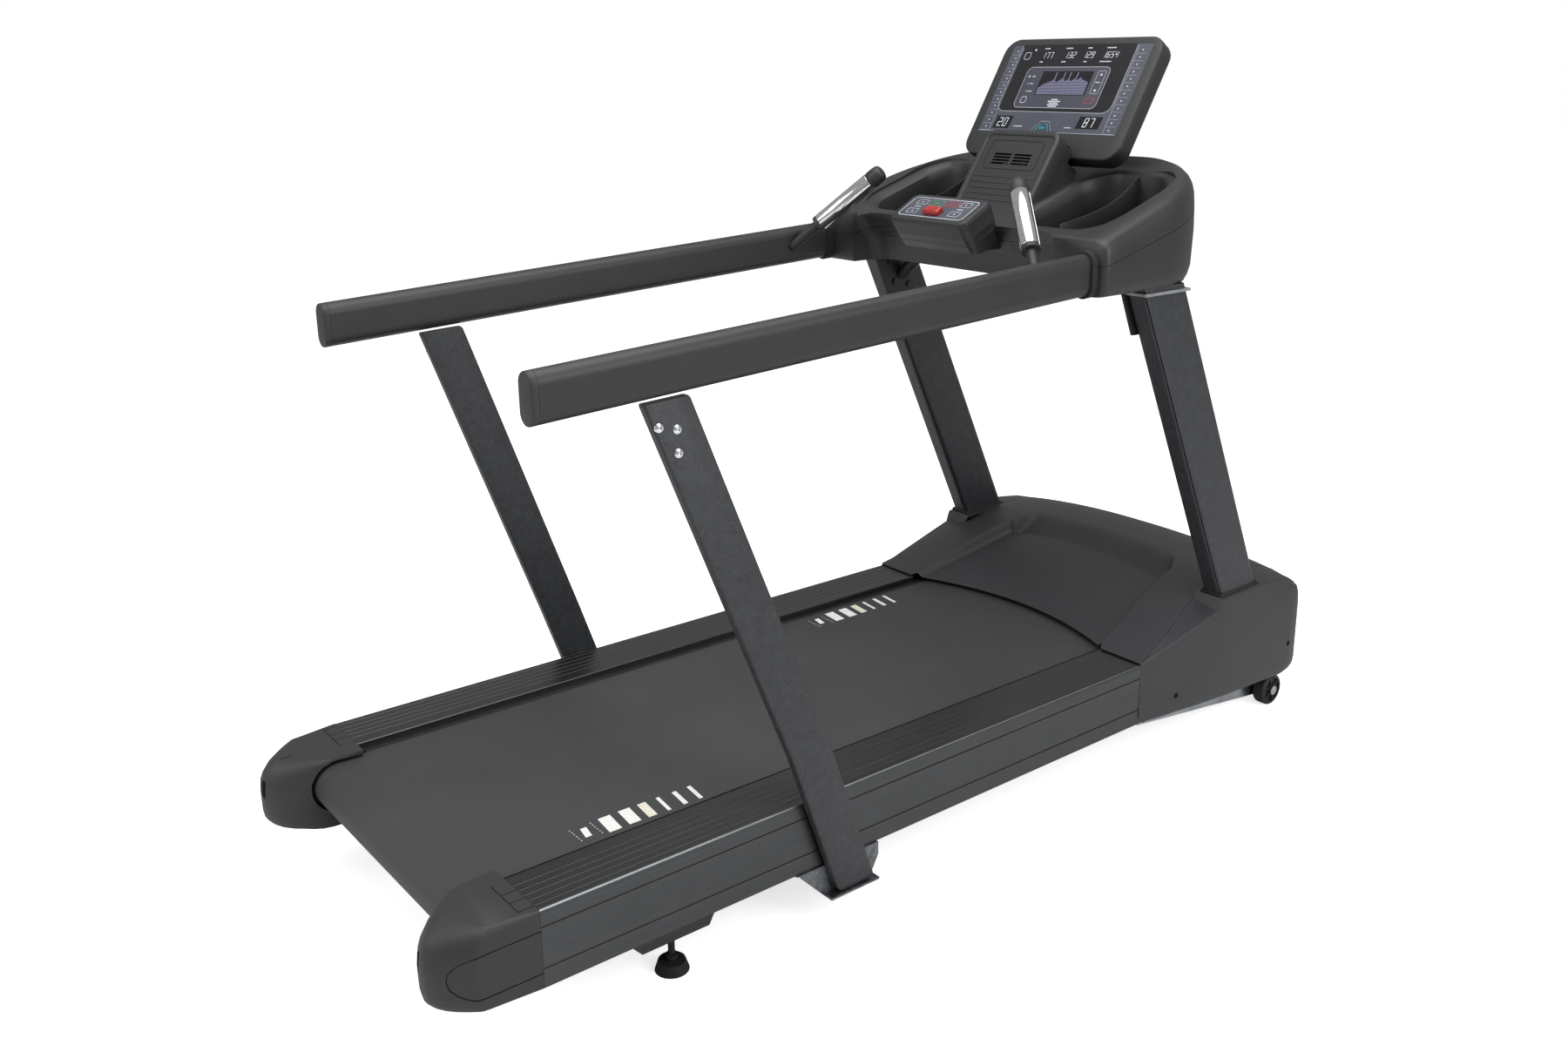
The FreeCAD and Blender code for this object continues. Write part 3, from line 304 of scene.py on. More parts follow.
def close(piece, place=None, bevel_mm=0.0, smooth=32):
    """Merges the seams, turns the faces outwards, sets the piece in its place, rounds its edges."""
    bpy.ops.mesh.select_all(action="SELECT")
    bpy.ops.mesh.remove_doubles(threshold=1e-6)
    bpy.ops.mesh.normals_make_consistent(inside=False)
    bpy.ops.object.mode_set(mode="OBJECT")
    if place is not None:
        piece.data.transform(place)
    if bevel_mm:
        modify(piece, "BEVEL", width=bevel_mm / 1000, segments=2, limit_method="ANGLE",
               angle_limit=math.radians(32))
    bpy.ops.object.select_all(action="DESELECT")
    piece.select_set(True)
    bpy.context.view_layer.objects.active = piece
    bpy.ops.object.shade_smooth_by_angle(angle=math.radians(smooth))
    return piece


def belong(piece, material, body, slot, *nodes):
    """Gives a finished piece its surface, its body and the nodes that it stands for; its slot is not
    used.
    """
    piece.data.materials.clear()
    piece.data.materials.append(material)
    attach(piece, body)
    if nodes:
        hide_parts(*nodes)
    return piece


def twin(piece, name):
    """A copy of a right-hand piece for the left, with its own mesh."""
    bpy.ops.object.select_all(action="DESELECT")
    piece.select_set(True)
    bpy.context.view_layer.objects.active = piece
    bpy.ops.object.duplicate()
    other = bpy.context.object
    other.name = other.data.name = name
    other.data.transform(Matrix.Diagonal((-1, 1, 1, 1)))
    other.data.flip_normals()
    return other


def both_sides(piece, material, slot, node=None):
    """Copies a finished right-hand piece for the left; both go on the base. A node named for the
    right is stood for on each side; any other node is stood for by the right-hand piece alone."""
    other = twin(piece, piece.name.replace("right", "left"))
    belong(piece, material, "base", slot, *([node] if node else []))
    belong(other, material, "base", slot,
           *([node.replace("right", "left")] if node and "right" in node else []))


def plate(outline, low, high):
    """A flat piece over a plan outline, between two heights."""
    loft([[(x, y, low) for x, y in outline], [(x, y, high) for x, y in outline]])


INK = 0.25                         # thickness of a printed film of ink, in millimetres
# Flexible two-part PU ink, screen printed: flat, opaque and a little chalky.
white_ink = grained("white_belt_ink", "#cfcfcc", "#e4e4e1", 4.0, (0.6, 0.8), spread=0.1)
cream_ink = grained("cream_belt_ink", "#c9c5b4", "#dcd8c8", 4.0, (0.6, 0.8), spread=0.1)
BAR_SPANS = [(0, 12, 226, 256), (40, 64, 216, 267), (80, 103, 216, 266), (118, 135, 217, 267),
             (156, 163, 218, 268), (189, 198, 219, 268), (221, 229, 219, 269)]
for row, (side, start) in {"right_rear": (1, -750), "left_front": (-1, 148)}.items():
    for colour, ink, chosen in (("white", white_ink, (0, 1, 2, 4, 5, 6)), ("cream", cream_ink, (3,))):
        bars = begin(f"belt_bars_{row}_{colour}")
        for index in chosen:
            y0, y1, x0, x1 = BAR_SPANS[index]
            skew = 3 * side
            plate([(side * x0, start + y0 + skew), (side * x1, start + y0 - skew),
                   (side * x1, start + y1 - skew), (side * x0, start + y1 + skew)],
                  BELT_TOP - 0.1, BELT_TOP + INK)
        if colour == "white":
            for index in range(6):         # the dotted outline round the small bar
                x = side * (218 + 8 * index)
                for y in (start - 14, start + 26):
                    plate([(x, y), (x + 3, y), (x + 3, y + 1.4), (x, y + 1.4)],
                          BELT_TOP - 0.1, BELT_TOP + INK)
        belong(close(bars), ink, "base", "belt_rubber")

# ------------------------------------------------------------------ side rails
# Two extrusions of black-anodised aluminium that cover the frame tubes and take a foot when the
# user steps off. Fine die lines run along them, with five grooves on top and two on the skirt.
RAIL_IN, RAIL_OUT, RAIL_TOP, SKIRT_LOW = 300.0, 415.0, 252.0, 116.0
RAIL_REAR, RAIL_FRONT = -924.0, 505.0


def die_lines(name, dark, light, rough):
    """Anodised aluminium: streaks along the die's direction, each a millimetre or two across."""
    made, tree, out = new_material(name)
    place = add_node(tree, "ShaderNodeTexCoord")
    drawn = add_node(tree, "ShaderNodeMapping", {"Scale": (1, 0.004, 1)},
                     {"Vector": place.outputs["Object"]})
    streak = add_node(tree, "ShaderNodeTexNoise", {"Scale": 1000 / 2.2, "Detail": 4.0},
                      {"Vector": drawn.outputs["Vector"]})
    scuff = add_node(tree, "ShaderNodeTexNoise", {"Scale": 14.0, "Detail": 6.0},
                     {"Vector": place.outputs["Object"]})
    both = add_node(tree, "ShaderNodeMix", {"Factor": 0.25},
                    {2: streak.outputs["Fac"], 3: scuff.outputs["Fac"]})
    tone = add_node(tree, "ShaderNodeValToRGB", links={"Fac": both.outputs[0]})
    tone.color_ramp.elements[0].position = 0.32
    tone.color_ramp.elements[0].color = linear(dark)
    tone.color_ramp.elements[1].position = 0.68
    tone.color_ramp.elements[1].color = linear(light)
    gloss = add_node(tree, "ShaderNodeMapRange", {"From Min": 0.3, "From Max": 0.7,
                     "To Min": rough[0], "To Max": rough[1]}, {"Value": both.outputs[0]})
    bump = add_node(tree, "ShaderNodeBump", {"Strength": 0.4, "Distance": 0.00002},
                    {"Height": streak.outputs["Fac"]})
    shader = add_node(tree, "ShaderNodeBsdfPrincipled", {"Metallic": 1.0},
                      {"Base Color": tone.outputs["Color"], "Roughness": gloss.outputs["Result"],
                       "Normal": bump.outputs["Normal"]})
    tree.links.new(shader.outputs["BSDF"], out.inputs["Surface"])
    return made


rail_anodising = die_lines("black_anodised_extrusion", "#4a4b4c", "#535455", (0.36, 0.44))
edge_radius = 5.0
section = [(RAIL_IN, 236.0), (RAIL_IN, RAIL_TOP - 1.5), (RAIL_IN + 1.5, RAIL_TOP)]
for groove in (330, 347, 364, 381, 398):
    section += [(groove - 1.2, RAIL_TOP), (groove - 0.7, RAIL_TOP - 0.5),
                (groove + 0.7, RAIL_TOP - 0.5), (groove + 1.2, RAIL_TOP)]
for step in range(6):
    turn = math.radians(90 - 18 * step)
    section.append((RAIL_OUT - edge_radius + edge_radius * math.cos(turn),
                    RAIL_TOP - edge_radius + edge_radius * math.sin(turn)))
for groove in (222, 150):
    section += [(RAIL_OUT, groove + 1.6), (RAIL_OUT - 1.6, groove + 0.9),
                (RAIL_OUT - 1.6, groove - 0.9), (RAIL_OUT, groove - 1.6)]
section += [(RAIL_OUT, SKIRT_LOW), (RAIL_OUT - 3, SKIRT_LOW), (RAIL_OUT - 3, 140), (401, 140),
            (401, 246), (303, 246), (303, 236)]
rail = begin("side_rail_extrusion_right")
loft([[(x, y, z) for x, z in section] for y in (RAIL_REAR, RAIL_FRONT)])
close(rail, smooth=25)
both_sides(rail, rail_anodising, "rail_aluminium", "side_rail_right")
# A thin strip of lighter metal along the outer rounded corner: a painted highlight, standing in for the
# light that the rounded edge catches.
edge_turns = [math.radians(9 * k + 36) for k in range(4)]   # the middle of the rounded corner
lines = begin("rail_bright_edges")
for side in (1, -1):
    loft([[(side * (RAIL_OUT - edge_radius + r * math.cos(a)), y,
            RAIL_TOP - edge_radius + r * math.sin(a))
           for r, turns in ((5.12, edge_turns), (4.6, edge_turns[::-1])) for a in turns]
          for y in (RAIL_REAR + 0.5, RAIL_FRONT - 0.5)])
belong(close(lines, smooth=40),
       grained("milled_bright_aluminium", "#808284", "#949698", 1.0, (0.3, 0.4), stretch=(1, 60, 1),
               metallic=1.0), "base", "rail_aluminium")

# ------------------------------------------------------------------ rear end caps
# Injection-moulded ABS with a fine spark-eroded texture. Each closes a rail, wraps the corner of
# the rear roller and has a slot for the key of the belt tension bolt. Two screws hold it.
abs_plastic = grained("spark_eroded_black_abs", "#222324", "#2a2b2c", 0.9, (0.5, 0.62), 0.06,
                      broad_mm=120, spread=0.3)
CAP_PLAN = [(268, -924.5), (268, -1000), (272, -1022), (282, -1042), (300, -1066), (318, -1082),
            (336, -1091), (352, -1094), (366, -1090), (380, -1080), (392, -1067), (403, -1052),
            (412, -1038), (414.6, -1032), (415, -1026), (415, -924.5)]
# Each level: height, how far it has drawn in, and how far its rear has come forward.
CAP_LEVELS = [(116, 10, 26), (120, 4, 14), (127, 1.5, 8), (136, 0, 3), (150, 0, 0.5), (170, 0, 0),
              (190, 0, 0), (208, 0.5, 2), (222, 1.5, 7), (234, 4, 15), (243, 8, 26), (249, 13, 38),
              (252, 21, 54)]
CAP_MIDDLE = (345, -985)
ROLLER_Y, ROLLER_Z, WRAP_RADIUS = -975, 196, 51
NOTCH_LEVELS = (250.4, 256)        # from the floor of the shallow lines to above the cap


def cap_ring(height, drawn, forward):
    points = []
    for x, y in CAP_PLAN:
        rear = min(1, max(0, (-y - 960) / 130))
        outer = 1 if x > CAP_MIDDLE[0] else 0.25
        shift = Vector((x - CAP_MIDDLE[0], 0)).normalized().x * drawn * outer * (0.35 + 0.65 * rear)
        if y > -930:
            shift = 0 if drawn < 20 else shift * 0.2
        points.append((x - shift, y + forward * rear, height))
    return points


def cut(piece, *cutters, own=False, place=None, smooth=None):
    """Takes the cutters' shapes out of a piece, one by one; own allows for folds in the piece.
    The piece is then set in its place and its shading smoothed, where these are given."""
    modify(piece, "TRIANGULATE", min_vertices=5)
    for cutter in cutters:
        modify(piece, "BOOLEAN", operation="DIFFERENCE", solver="EXACT", object=cutter,
               use_self=own)
        modify(piece, "TRIANGULATE", min_vertices=5)
        bpy.data.objects.remove(cutter)
    if place is not None:
        piece.data.transform(place)
    if smooth:
        bpy.ops.object.shade_smooth_by_angle(angle=math.radians(smooth))


cap = begin("rear_cap_right")
loft([cap_ring(*level) for level in CAP_LEVELS])
close(cap)
slot_cutter = begin("slot_cutter")
loft([[(341 + 6 * math.cos(a), y, ROLLER_Z + 6 * math.sin(a) + (12 if math.sin(a) > 0 else -12))
       for a in [math.radians(15 + 30 * k) for k in range(12)]] for y in (-1120, -1060)])
close(slot_cutter)
wrap_cutter = begin("wrap_cutter")
turns = [math.radians(15 * k) for k in range(24)]
loft([[(x, ROLLER_Y + WRAP_RADIUS * math.cos(a), ROLLER_Z + WRAP_RADIUS * math.sin(a))
       for a in turns] for x in (250, 300)])
close(wrap_cutter)
belt_cutter = begin("belt_cutter")
loft([[(x, -978, 100), (x, -900, 100), (x, -900, 242.5), (x, -978, 247)] for x in (250, 300)])
close(belt_cutter)
cutters = [slot_cutter, wrap_cutter, belt_cutter]
# The line that loops from the rail's upper groove round the cap's corner to its lower groove.
LOOP = [(415.2, -915, 215.6), (415.2, -1000, 215.2), (414.6, -1028, 214.5), (410, -1042, 212),
        (400, -1056.5, 204), (392, -1067, 193), (389.5, -1070, 179), (392, -1067, 165),
        (400, -1056.5, 153), (410, -1042, 145), (414.6, -1028, 142.5), (415.2, -1000, 142.2),
        (415.2, -915, 142.6)]
loop = [Vector(point) for point in LOOP]
rings = []
for index, point in enumerate(loop):
    ahead = (loop[min(index + 1, len(loop) - 1)] - loop[max(index - 1, 0)]).normalized()
    out_of = Vector((1, -0.05 if point.y > -1030 else -0.75, 0)).normalized()
    aside = ahead.cross(out_of).normalized()
    rings.append([point + out_of * a + aside * b
                  for a, b in ((-2.6, -0.9), (3.5, -1.4), (3.5, 1.4), (-2.6, 0.9))])
groove = begin("loop_cutter")
loft(rings)
cutters.append(close(groove))
for x in (341, 369, 398):
    notch = begin("notch_cutter")
    loft([[(x - 1, -900, z), (x + 1, -900, z), (x + 1, -951, z), (x - 1, -951, z)]
          for z in NOTCH_LEVELS])
    close(notch)
    cutters.append(notch)
notch = begin("notch_cutter")
loft([[(309, -953, z), (400, -953, z), (400, -950.6, z), (309, -950.6, z)]
      for z in NOTCH_LEVELS])
close(notch)
cutters.append(notch)
cut(cap, *cutters, smooth=35)
both_sides(cap, abs_plastic, "shell_plastic", "rear_end_cap_right")

# ------------------------------------------------------------------ hood, middle
# The middle motor cover: one large ABS moulding that rises from an arc over the belt to a crown
# between the uprights. A shallow tray is sunk in its back and ends in a curved scoop below the
# crown. It clips on along its sides.
hood_plastic = grained("spark_eroded_charcoal_abs", "#27282a", "#303133", 0.9, (0.48, 0.6), 0.06,
                       broad_mm=160, spread=0.3)


def between(table, at):
    """Reads a table of (place, value) pairs, sorted, with straight lines between them."""
    if at <= table[0][0]:
        return table[0][1]
    for (x0, v0), (x1, v1) in zip(table, table[1:]):
        if at <= x1:
            return v0 + (v1 - v0) * (at - x0) / (x1 - x0)
    return table[-1][1]


def smooth(low, high, at):
    """A soft step from 0 to 1 as at goes from low to high."""
    share = min(1, max(0, (at - low) / (high - low)))
    return share * share * (3 - 2 * share)


CROWN = [(500, 256), (578, 288), (649, 318), (720, 341), (795, 360), (860, 373), (930, 378),
         (965, 378), (1000, 372), (1040, 356), (1068, 322), (1086, 262), (1093, 190), (1095, 100)]
DROOP = [(500, 0), (578, 9), (649, 17), (750, 22), (860, 28), (965, 31), (1000, 31), (1095, 26)]
SEAM = [(500, 414), (620, 392), (742, 362), (760, 356), (905, 356), (960, 360), (1095, 366)]
TRAY_FRONT, SCOOP_FRONT = 795.0, 872.0


def crown(x, y):
    return between(CROWN, y) - between(DROOP, y) * (abs(x) / 400) ** 2.2


def rear_edge(x):
    return 578 - 0.00074 * x * x


def crease(y):
    return 298.5 - (y - 500) * 0.16


def hood_height(x, y):
    """The height of the middle cover: its crown, less the tray and the scoop sunk in it."""
    start = rear_edge(x)
    share = min(1, max(0, (y - start) / (TRAY_FRONT - start)))
    tray_end = 343 - 0.00035 * x * x
    tray = 251 + (tray_end - 251) * (share + 0.06 * math.sin(math.pi * share))
    full = crown(x, y)
    sunk = full - tray
    if y > TRAY_FRONT:
        deepest = crown(x, TRAY_FRONT) - tray_end + 14
        lip = smooth(TRAY_FRONT, TRAY_FRONT + 6, y)
        sunk = (sunk if y < TRAY_FRONT + 1 else deepest - 14 + 14 * lip)
        sunk = sunk * (1 - smooth(TRAY_FRONT + 10, SCOOP_FRONT, y))
    end_round = max(0, y - (SCOOP_FRONT - 60)) * 0.5
    inside = smooth(0, 13, crease(y) - end_round - abs(x))
    return full - sunk * inside


ROWS = [0.0, 0.015, 0.05, 0.12, 0.22, 0.34, 0.46, 0.58, 0.7, 0.8, 0.88, 0.94, 0.98]
FIXED_ROWS = [794.5, 796, 798, 800, 802, 806, 812, 820, 829, 838, 847, 856, 865, 874, 888, 905, 930,
              955, 980, 1000, 1018, 1032, 1044, 1054, 1062, 1069, 1075, 1080, 1084, 1087, 1089.5,
              1091, 1092.3, 1093.2, 1094, 1094.6, 1095]
COLUMNS = 71


def hood_x(share, y):
    """Columns crowd at the tray's creases, so that these stay crisp."""
    wall, edge = crease(y), between(SEAM, y)
    marks = [(0, 0), (0.6, wall - 26), (0.66, wall - 13), (0.82, wall), (0.88, wall + 10), (1, edge)]
    return math.copysign(between(marks, abs(share)), share)


cover = begin("hood_middle_cover")
count = len(ROWS) + len(FIXED_ROWS)
bpy.ops.mesh.primitive_grid_add(x_subdivisions=COLUMNS - 1, y_subdivisions=count - 1, size=2)
mesh = bmesh.from_edit_mesh(cover.data)
for corner in mesh.verts:
    share = corner.co.x
    row = round((corner.co.y + 1) / 2 * (count - 1))
    if row < len(ROWS):
        guess = 560.0
        for _ in range(3):               # settles the row's place against the curved rear edge
            x = hood_x(share, guess)
            start = min(rear_edge(x), 560 - 0.36 * (abs(x) - 100)) if abs(x) > 300 else rear_edge(x)
            start = max(start, 500)
            guess = start + (TRAY_FRONT - 0.7 - start) * ROWS[row]
        y = guess
    else:
        y = FIXED_ROWS[row - len(ROWS)]
        x = hood_x(share, y)
    z = hood_height(x, y)
    front = smooth(1040, 1095, y) * 0.00003 * x * x
    corner.co = mm((x, y - front, z))
bmesh.update_edit_mesh(cover.data)
close(cover, smooth=40)
modify(cover, "SOLIDIFY", thickness=0.003, offset=-1)
modify(cover, "BEVEL", width=0.001, segments=2, limit_method="ANGLE", angle_limit=math.radians(60))
bpy.ops.object.shade_smooth_by_angle(angle=math.radians(40))
belong(cover, hood_plastic, "base", "shell_plastic", "hood_center_cover")

# ------------------------------------------------------------------ hood, sides
# The two side covers, ABS as well: each carries a raised collar round the foot of its upright,
# a crease from corner to corner of its face, and two screws through it into the frame.
SHOULDER = [(500, 254), (745, 319), (751, 345), (940, 346), (1011, 336), (1040, 318), (1062, 282),
            (1078, 226), (1088, 160), (1092, 120)]
WIDTH = [(500, 415), (560, 421), (700, 430), (780, 434), (1020, 434), (1050, 430), (1068, 424),
         (1080, 412), (1088, 396), (1092, 380)]
SKIRT = [(500, 113), (900, 96), (1009, 91), (1054, 94), (1080, 98), (1092, 101)]
CREASE = [(500, 120), (600, 140), (1000, 296), (1092, 330)]
COVER_SCREWS = ((614, 153), (1020, 170))
STATIONS = [501, 506, 530, 570, 620, 680, 725, 743, 749, 753, 765, 800, 850, 900, 930, 944, 952,
            985, 1008, 1024, 1038, 1050, 1060, 1068, 1074, 1079, 1083, 1086, 1088.5, 1090.5, 1092]


def side_section(y):
    """The right-hand cover cut across at y: over the shoulder, down the face and back under."""
    top, wide, low = between(SHOULDER, y), between(WIDTH, y), between(SKIRT, y)
    seam_x = between(SEAM, y) + 0.8
    inner_top = crown(seam_x, y) if y < 745 or y > 946 else max(top, crown(seam_x, y))
    if y > 1060:
        inner_top = min(inner_top, top + 14)
    bend = min(top - 8, max(low + 14, between(CREASE, y)))
    span = top - low
    outer = [(wide - 9, top), (wide - 4, top - 1.6), (wide - 1.2, top - 5), (wide, top - 11)]
    puff = 4.5 * smooth(560, 700, y) * (1 - smooth(1030, 1075, y))
    face = [(wide + 0.6 + puff * 0.3, bend + 0.45 * (top - bend)), (wide + 1 + puff, bend),
            (wide + 1 + puff * 0.7, low + min(26, span * 0.3)), (wide - 1, low + 10),
            (wide - 7, low)]
    back = [(x - 3, z + (0 if z > low + 20 else 3)) for x, z in reversed(outer + face)]
    back[0] = (wide - 10, low + 3)
    return ([(seam_x, inner_top)] + outer + face + back[:-4] +
            [(wide - 12, top - 4), (seam_x, inner_top - 3)])


def upright_y(z):
    """Where the face of the leaning upright on the user's side is, at a height."""
    return 760 - 0.461 * (z - 350)


cover = begin("hood_side_cover_right_moulding")
loft([[(x, y, z) for x, z in side_section(y)] for y in STATIONS])
close(cover, smooth=28)
upright_hole = begin("upright_hole")
loft([[(x, upright_y(z) + y, z) for x, y in
       ((370, -4), (424, -4), (426, -1), (426, 135), (424, 138), (370, 138), (368, 135), (368, -1))]
      for z in (300, 420)])
close(upright_hole)
holes = []
for y, z in COVER_SCREWS:
    hole = begin("screw_well")
    loft([[(x, y + 6.5 * math.cos(k * math.pi / 10), z + 6.5 * math.sin(k * math.pi / 10))
           for k in range(20)] for x in (450, between(WIDTH, y) - 1.6)])
    close(hole)
    holes.append(hole)
cut(cover, upright_hole, *holes, smooth=28)
both_sides(cover, hood_plastic, "shell_plastic", "hood_side_cover_right")
finish_node(hood_plastic, "belly_pan")

# Countersunk cross-head screws, black oxide on steel: they sit deep in their wells.
black_oxide = grained("black_oxide_steel", "#0b0b0c", "#161617", 0.8, (0.35, 0.5), 0.02,
                      metallic=0.6)
screws = begin("hood_cover_screws")
for side in (1, -1):
    for y, z in COVER_SCREWS:
        x = between(WIDTH, y)
        rounds = [(x - 3.0, 5.4), (x - 0.8, 5.4), (x - 0.4, 4.8), (x - 0.4, 1.4), (x - 2.2, 1.0)]
        loft([[(side * at, y + r * math.cos(k * math.pi / 8), z + r * math.sin(k * math.pi / 8))
               for k in range(16)] for at, r in rounds])
belong(close(screws), black_oxide, "base", "bare_steel", "hood_screws")

# ------------------------------------------------------------------ inlet and switch
# A glass-filled nylon appliance inlet with its rocker switch, snapped into the hood's front.
nylon = grained("glass_filled_nylon", "#131314", "#1d1d1e", 0.7, (0.45, 0.6), 0.04)
finish_node(nylon, "power_inlet")
finish_node(grained("red_rocker_polycarbonate", "#7c1512", "#8f1c18", 0.8, (0.25, 0.35)),
            "power_switch")

# ------------------------------------------------------------------ lift, wheels and feet
# The lift frame is welded bar, zinc plated. The transport wheels are polyurethane tyres on ribbed
# nylon hubs, each held by a zinc-plated hexagon bolt. The levelling feet are rubber on a stem.
finish_node(plated_steel, "lift_frame")
urethane = grained("polyurethane_tyre", "#161617", "#222223", 1.5, (0.5, 0.65), 0.05)
WHEEL_Y, WHEEL_Z, WHEEL_IN, WHEEL_OUT = 1025.0, 38.0, 373.0, 403.0


def disc(rounds, y, z, sides=48, side=1):
    """Turns a profile of (x, radius) round a wheel's axle line."""
    turns = [2 * math.pi * k / sides for k in range(sides)]
    loft([[(side * x, y + r * math.cos(a), z + r * math.sin(a)) for a in turns]
          for x, r in rounds])


for name, side in (("right", 1), ("left", -1)):
    wheel = begin(f"transport_wheel_{name}")
    disc([(WHEEL_IN, 20), (WHEEL_IN, 33), (WHEEL_IN + 1.5, 36), (WHEEL_IN + 4, 37.7), (WHEEL_IN + 9, 38),
          (WHEEL_OUT - 9, 38), (WHEEL_OUT - 4, 37.7), (WHEEL_OUT - 1.5, 36), (WHEEL_OUT, 33),
          (WHEEL_OUT, 29), (WHEEL_OUT - 5, 28), (WHEEL_OUT - 5, 14), (WHEEL_OUT, 13), (WHEEL_OUT, 7.2),
          (WHEEL_IN, 7.2), (WHEEL_IN, 19.9)], WHEEL_Y, WHEEL_Z, side=side)
    for spoke in range(6):
        turn = Matrix.Rotation(math.radians(60 * spoke + 12), 3, "X")
        corners = [turn @ Vector(p) for p in ((0, -1.6, 12), (0, 1.6, 12), (0, 1.6, 29), (0, -1.6, 29))]
        loft([[(side * x, WHEEL_Y + p.y, WHEEL_Z + p.z) for p in corners]
              for x in (WHEEL_OUT - 6, WHEEL_OUT - 0.8)])
    belong(close(wheel, smooth=35), urethane, f"wheel_{name}", "soft_rubber", f"wheel_{name}")
finish_node(soft_rubber, "levelling_foot_left", "levelling_foot_right")

# ------------------------------------------------------------------ uprights
# Two leaning box sections of steel under a coarse textured powder coat, which shows as a speckle.
# A black rubber gasket closes the gap between each foot and its collar, and a bright pressed ring
# hides the joint with the console.


def powder_texture(name, dark, light):
    made, tree, out = new_material(name)
    place = add_node(tree, "ShaderNodeTexCoord")
    grit = add_node(tree, "ShaderNodeTexNoise", {"Scale": 420.0, "Detail": 2.0},
                    {"Vector": place.outputs["Object"]})
    drift = add_node(tree, "ShaderNodeTexNoise", {"Scale": 60.0, "Detail": 3.0},
                     {"Vector": place.outputs["Object"]})
    both = add_node(tree, "ShaderNodeMix", {"Factor": 0.3},
                    {2: grit.outputs["Fac"], 3: drift.outputs["Fac"]})
    tone = add_node(tree, "ShaderNodeValToRGB", links={"Fac": both.outputs[0]})
    tone.color_ramp.elements[0].position = 0.38
    tone.color_ramp.elements[0].color = linear(dark)
    tone.color_ramp.elements[1].position = 0.66
    tone.color_ramp.elements[1].color = linear(light)
    bump = add_node(tree, "ShaderNodeBump", {"Strength": 1.0, "Distance": 0.00022},
                    {"Height": both.outputs[0]})
    shader = add_node(tree, "ShaderNodeBsdfPrincipled", {"Roughness": 0.5},
                      {"Base Color": tone.outputs["Color"], "Normal": bump.outputs["Normal"]})
    tree.links.new(shader.outputs["BSDF"], out.inputs["Surface"])
    return made


# A coarse epoxy-polyester powder: each grain melts into a bead about 2 mm across.
coarse_coat = powder_texture("coarse_black_powder_coat", "#1d1e20", "#34363a")
finish_node(coarse_coat, "upright_left", "upright_right")
# Stainless sheet, drawn and brushed round the ring: pale, with a soft gloss.
bright_trim = grained("satin_stainless_trim", "#a9abad", "#d4d6d7", 1.0, (0.25, 0.35), 0.01,
                      stretch=(8, 8, 1), metallic=1.0)
finish_node(bright_trim, "upright_trim_rings")


def skirt(side, grow, z):
    """The upright's outline at a height, grown outwards."""
    y = upright_y(z)
    flat = [(372.5 - grow, y - grow), (421.5 + grow, y - grow), (421.5 + grow, y + 134 + grow),
            (372.5 - grow, y + 134 + grow)]
    return [(side * px, py, z) for px, py in flat]


gaskets = begin("upright_gaskets")
for side in (1, -1):
    loft([skirt(side, grow, z) for grow, z in
          ((0.2, 325), (3.2, 325), (3.2, 348), (1.2, 352), (0.2, 352), (0.2, 325))], hollow=True)
belong(close(gaskets, bevel_mm=0.6), soft_rubber, "base", "soft_rubber")

# ------------------------------------------------------------------ handrails
# Flat oval steel tube under a smooth satin powder coat, with a pressed-in ABS cap at each rear end
# and a moulded rubber gasket where it runs into the console.
rail_coat = grained("smooth_satin_powder_coat", "#1b1c1d", "#222324", 1.4, (0.42, 0.52), 0.015)
finish_node(rail_coat, "handrail_left", "handrail_right")
finish_node(soft_rubber, "handrail_collars")
GRIP_X, RAIL_END = 389.0, -882.0


def oval(y, grow, side=1):
    """The handrail's flat oval cross-section at y."""
    middle = 1075.6 + 0.055 * (y - RAIL_END) - 40.5
    points = []
    for k in range(40):
        turn = 2 * math.pi * (k + 0.5) / 40
        lift = 20.5 if math.sin(turn) > 0 else -20.5
        points.append((side * (GRIP_X + (20 + grow) * math.cos(turn)), y,
                       middle + lift + (20 + grow) * math.sin(turn)))
    return points


caps = begin("handrail_caps")
for side in (1, -1):
    loft([oval(RAIL_END + y, grow, side) for y, grow in
          ((30, -3), (11.7, -3), (11.6, 0), (2.2, 0), (0.7, -0.7), (0, -2.4))])
belong(close(caps, smooth=40), abs_plastic, "base", "shell_plastic", "handrail_end_caps")

# ------------------------------------------------------------------ struts
# A flat box section on each side from the frame to the handrail: bent once, with the same coarse
# powder as the uprights, bolted to a plated stirrup below and to the handrail above.
STRUT_IN, STRUT_OUT = 419.0, 439.0
STRUT_BEND, STRUT_LEAN = 346, math.tan(math.radians(3.4))   # leans inwards above the bend


def strut_ring(y0, y1, z0, z1, shrink=0.0):
    """A rounded section between two edges in Y, each at its own height, leaning in with height."""
    points = []
    corners = [(STRUT_IN, y0, 1, 1, 180), (STRUT_IN, y1, 1, -1, 90), (STRUT_OUT, y1, -1, -1, 0),
               (STRUT_OUT, y0, -1, 1, 270)]
    for x, y, in_x, in_y, start in corners:
        for step in range(4):
            turn = math.radians(start + 90 - 30 * step)
            px = x + in_x * (4 + shrink) + 4 * math.cos(turn)
            py = y + in_y * (4 + shrink) + 4 * math.sin(turn)
            z = z0 + (z1 - z0) * (py - y0) / (y1 - y0)
            lean = STRUT_LEAN * max(0, z - STRUT_BEND)
            points.append((px - lean, py, z))
    return points


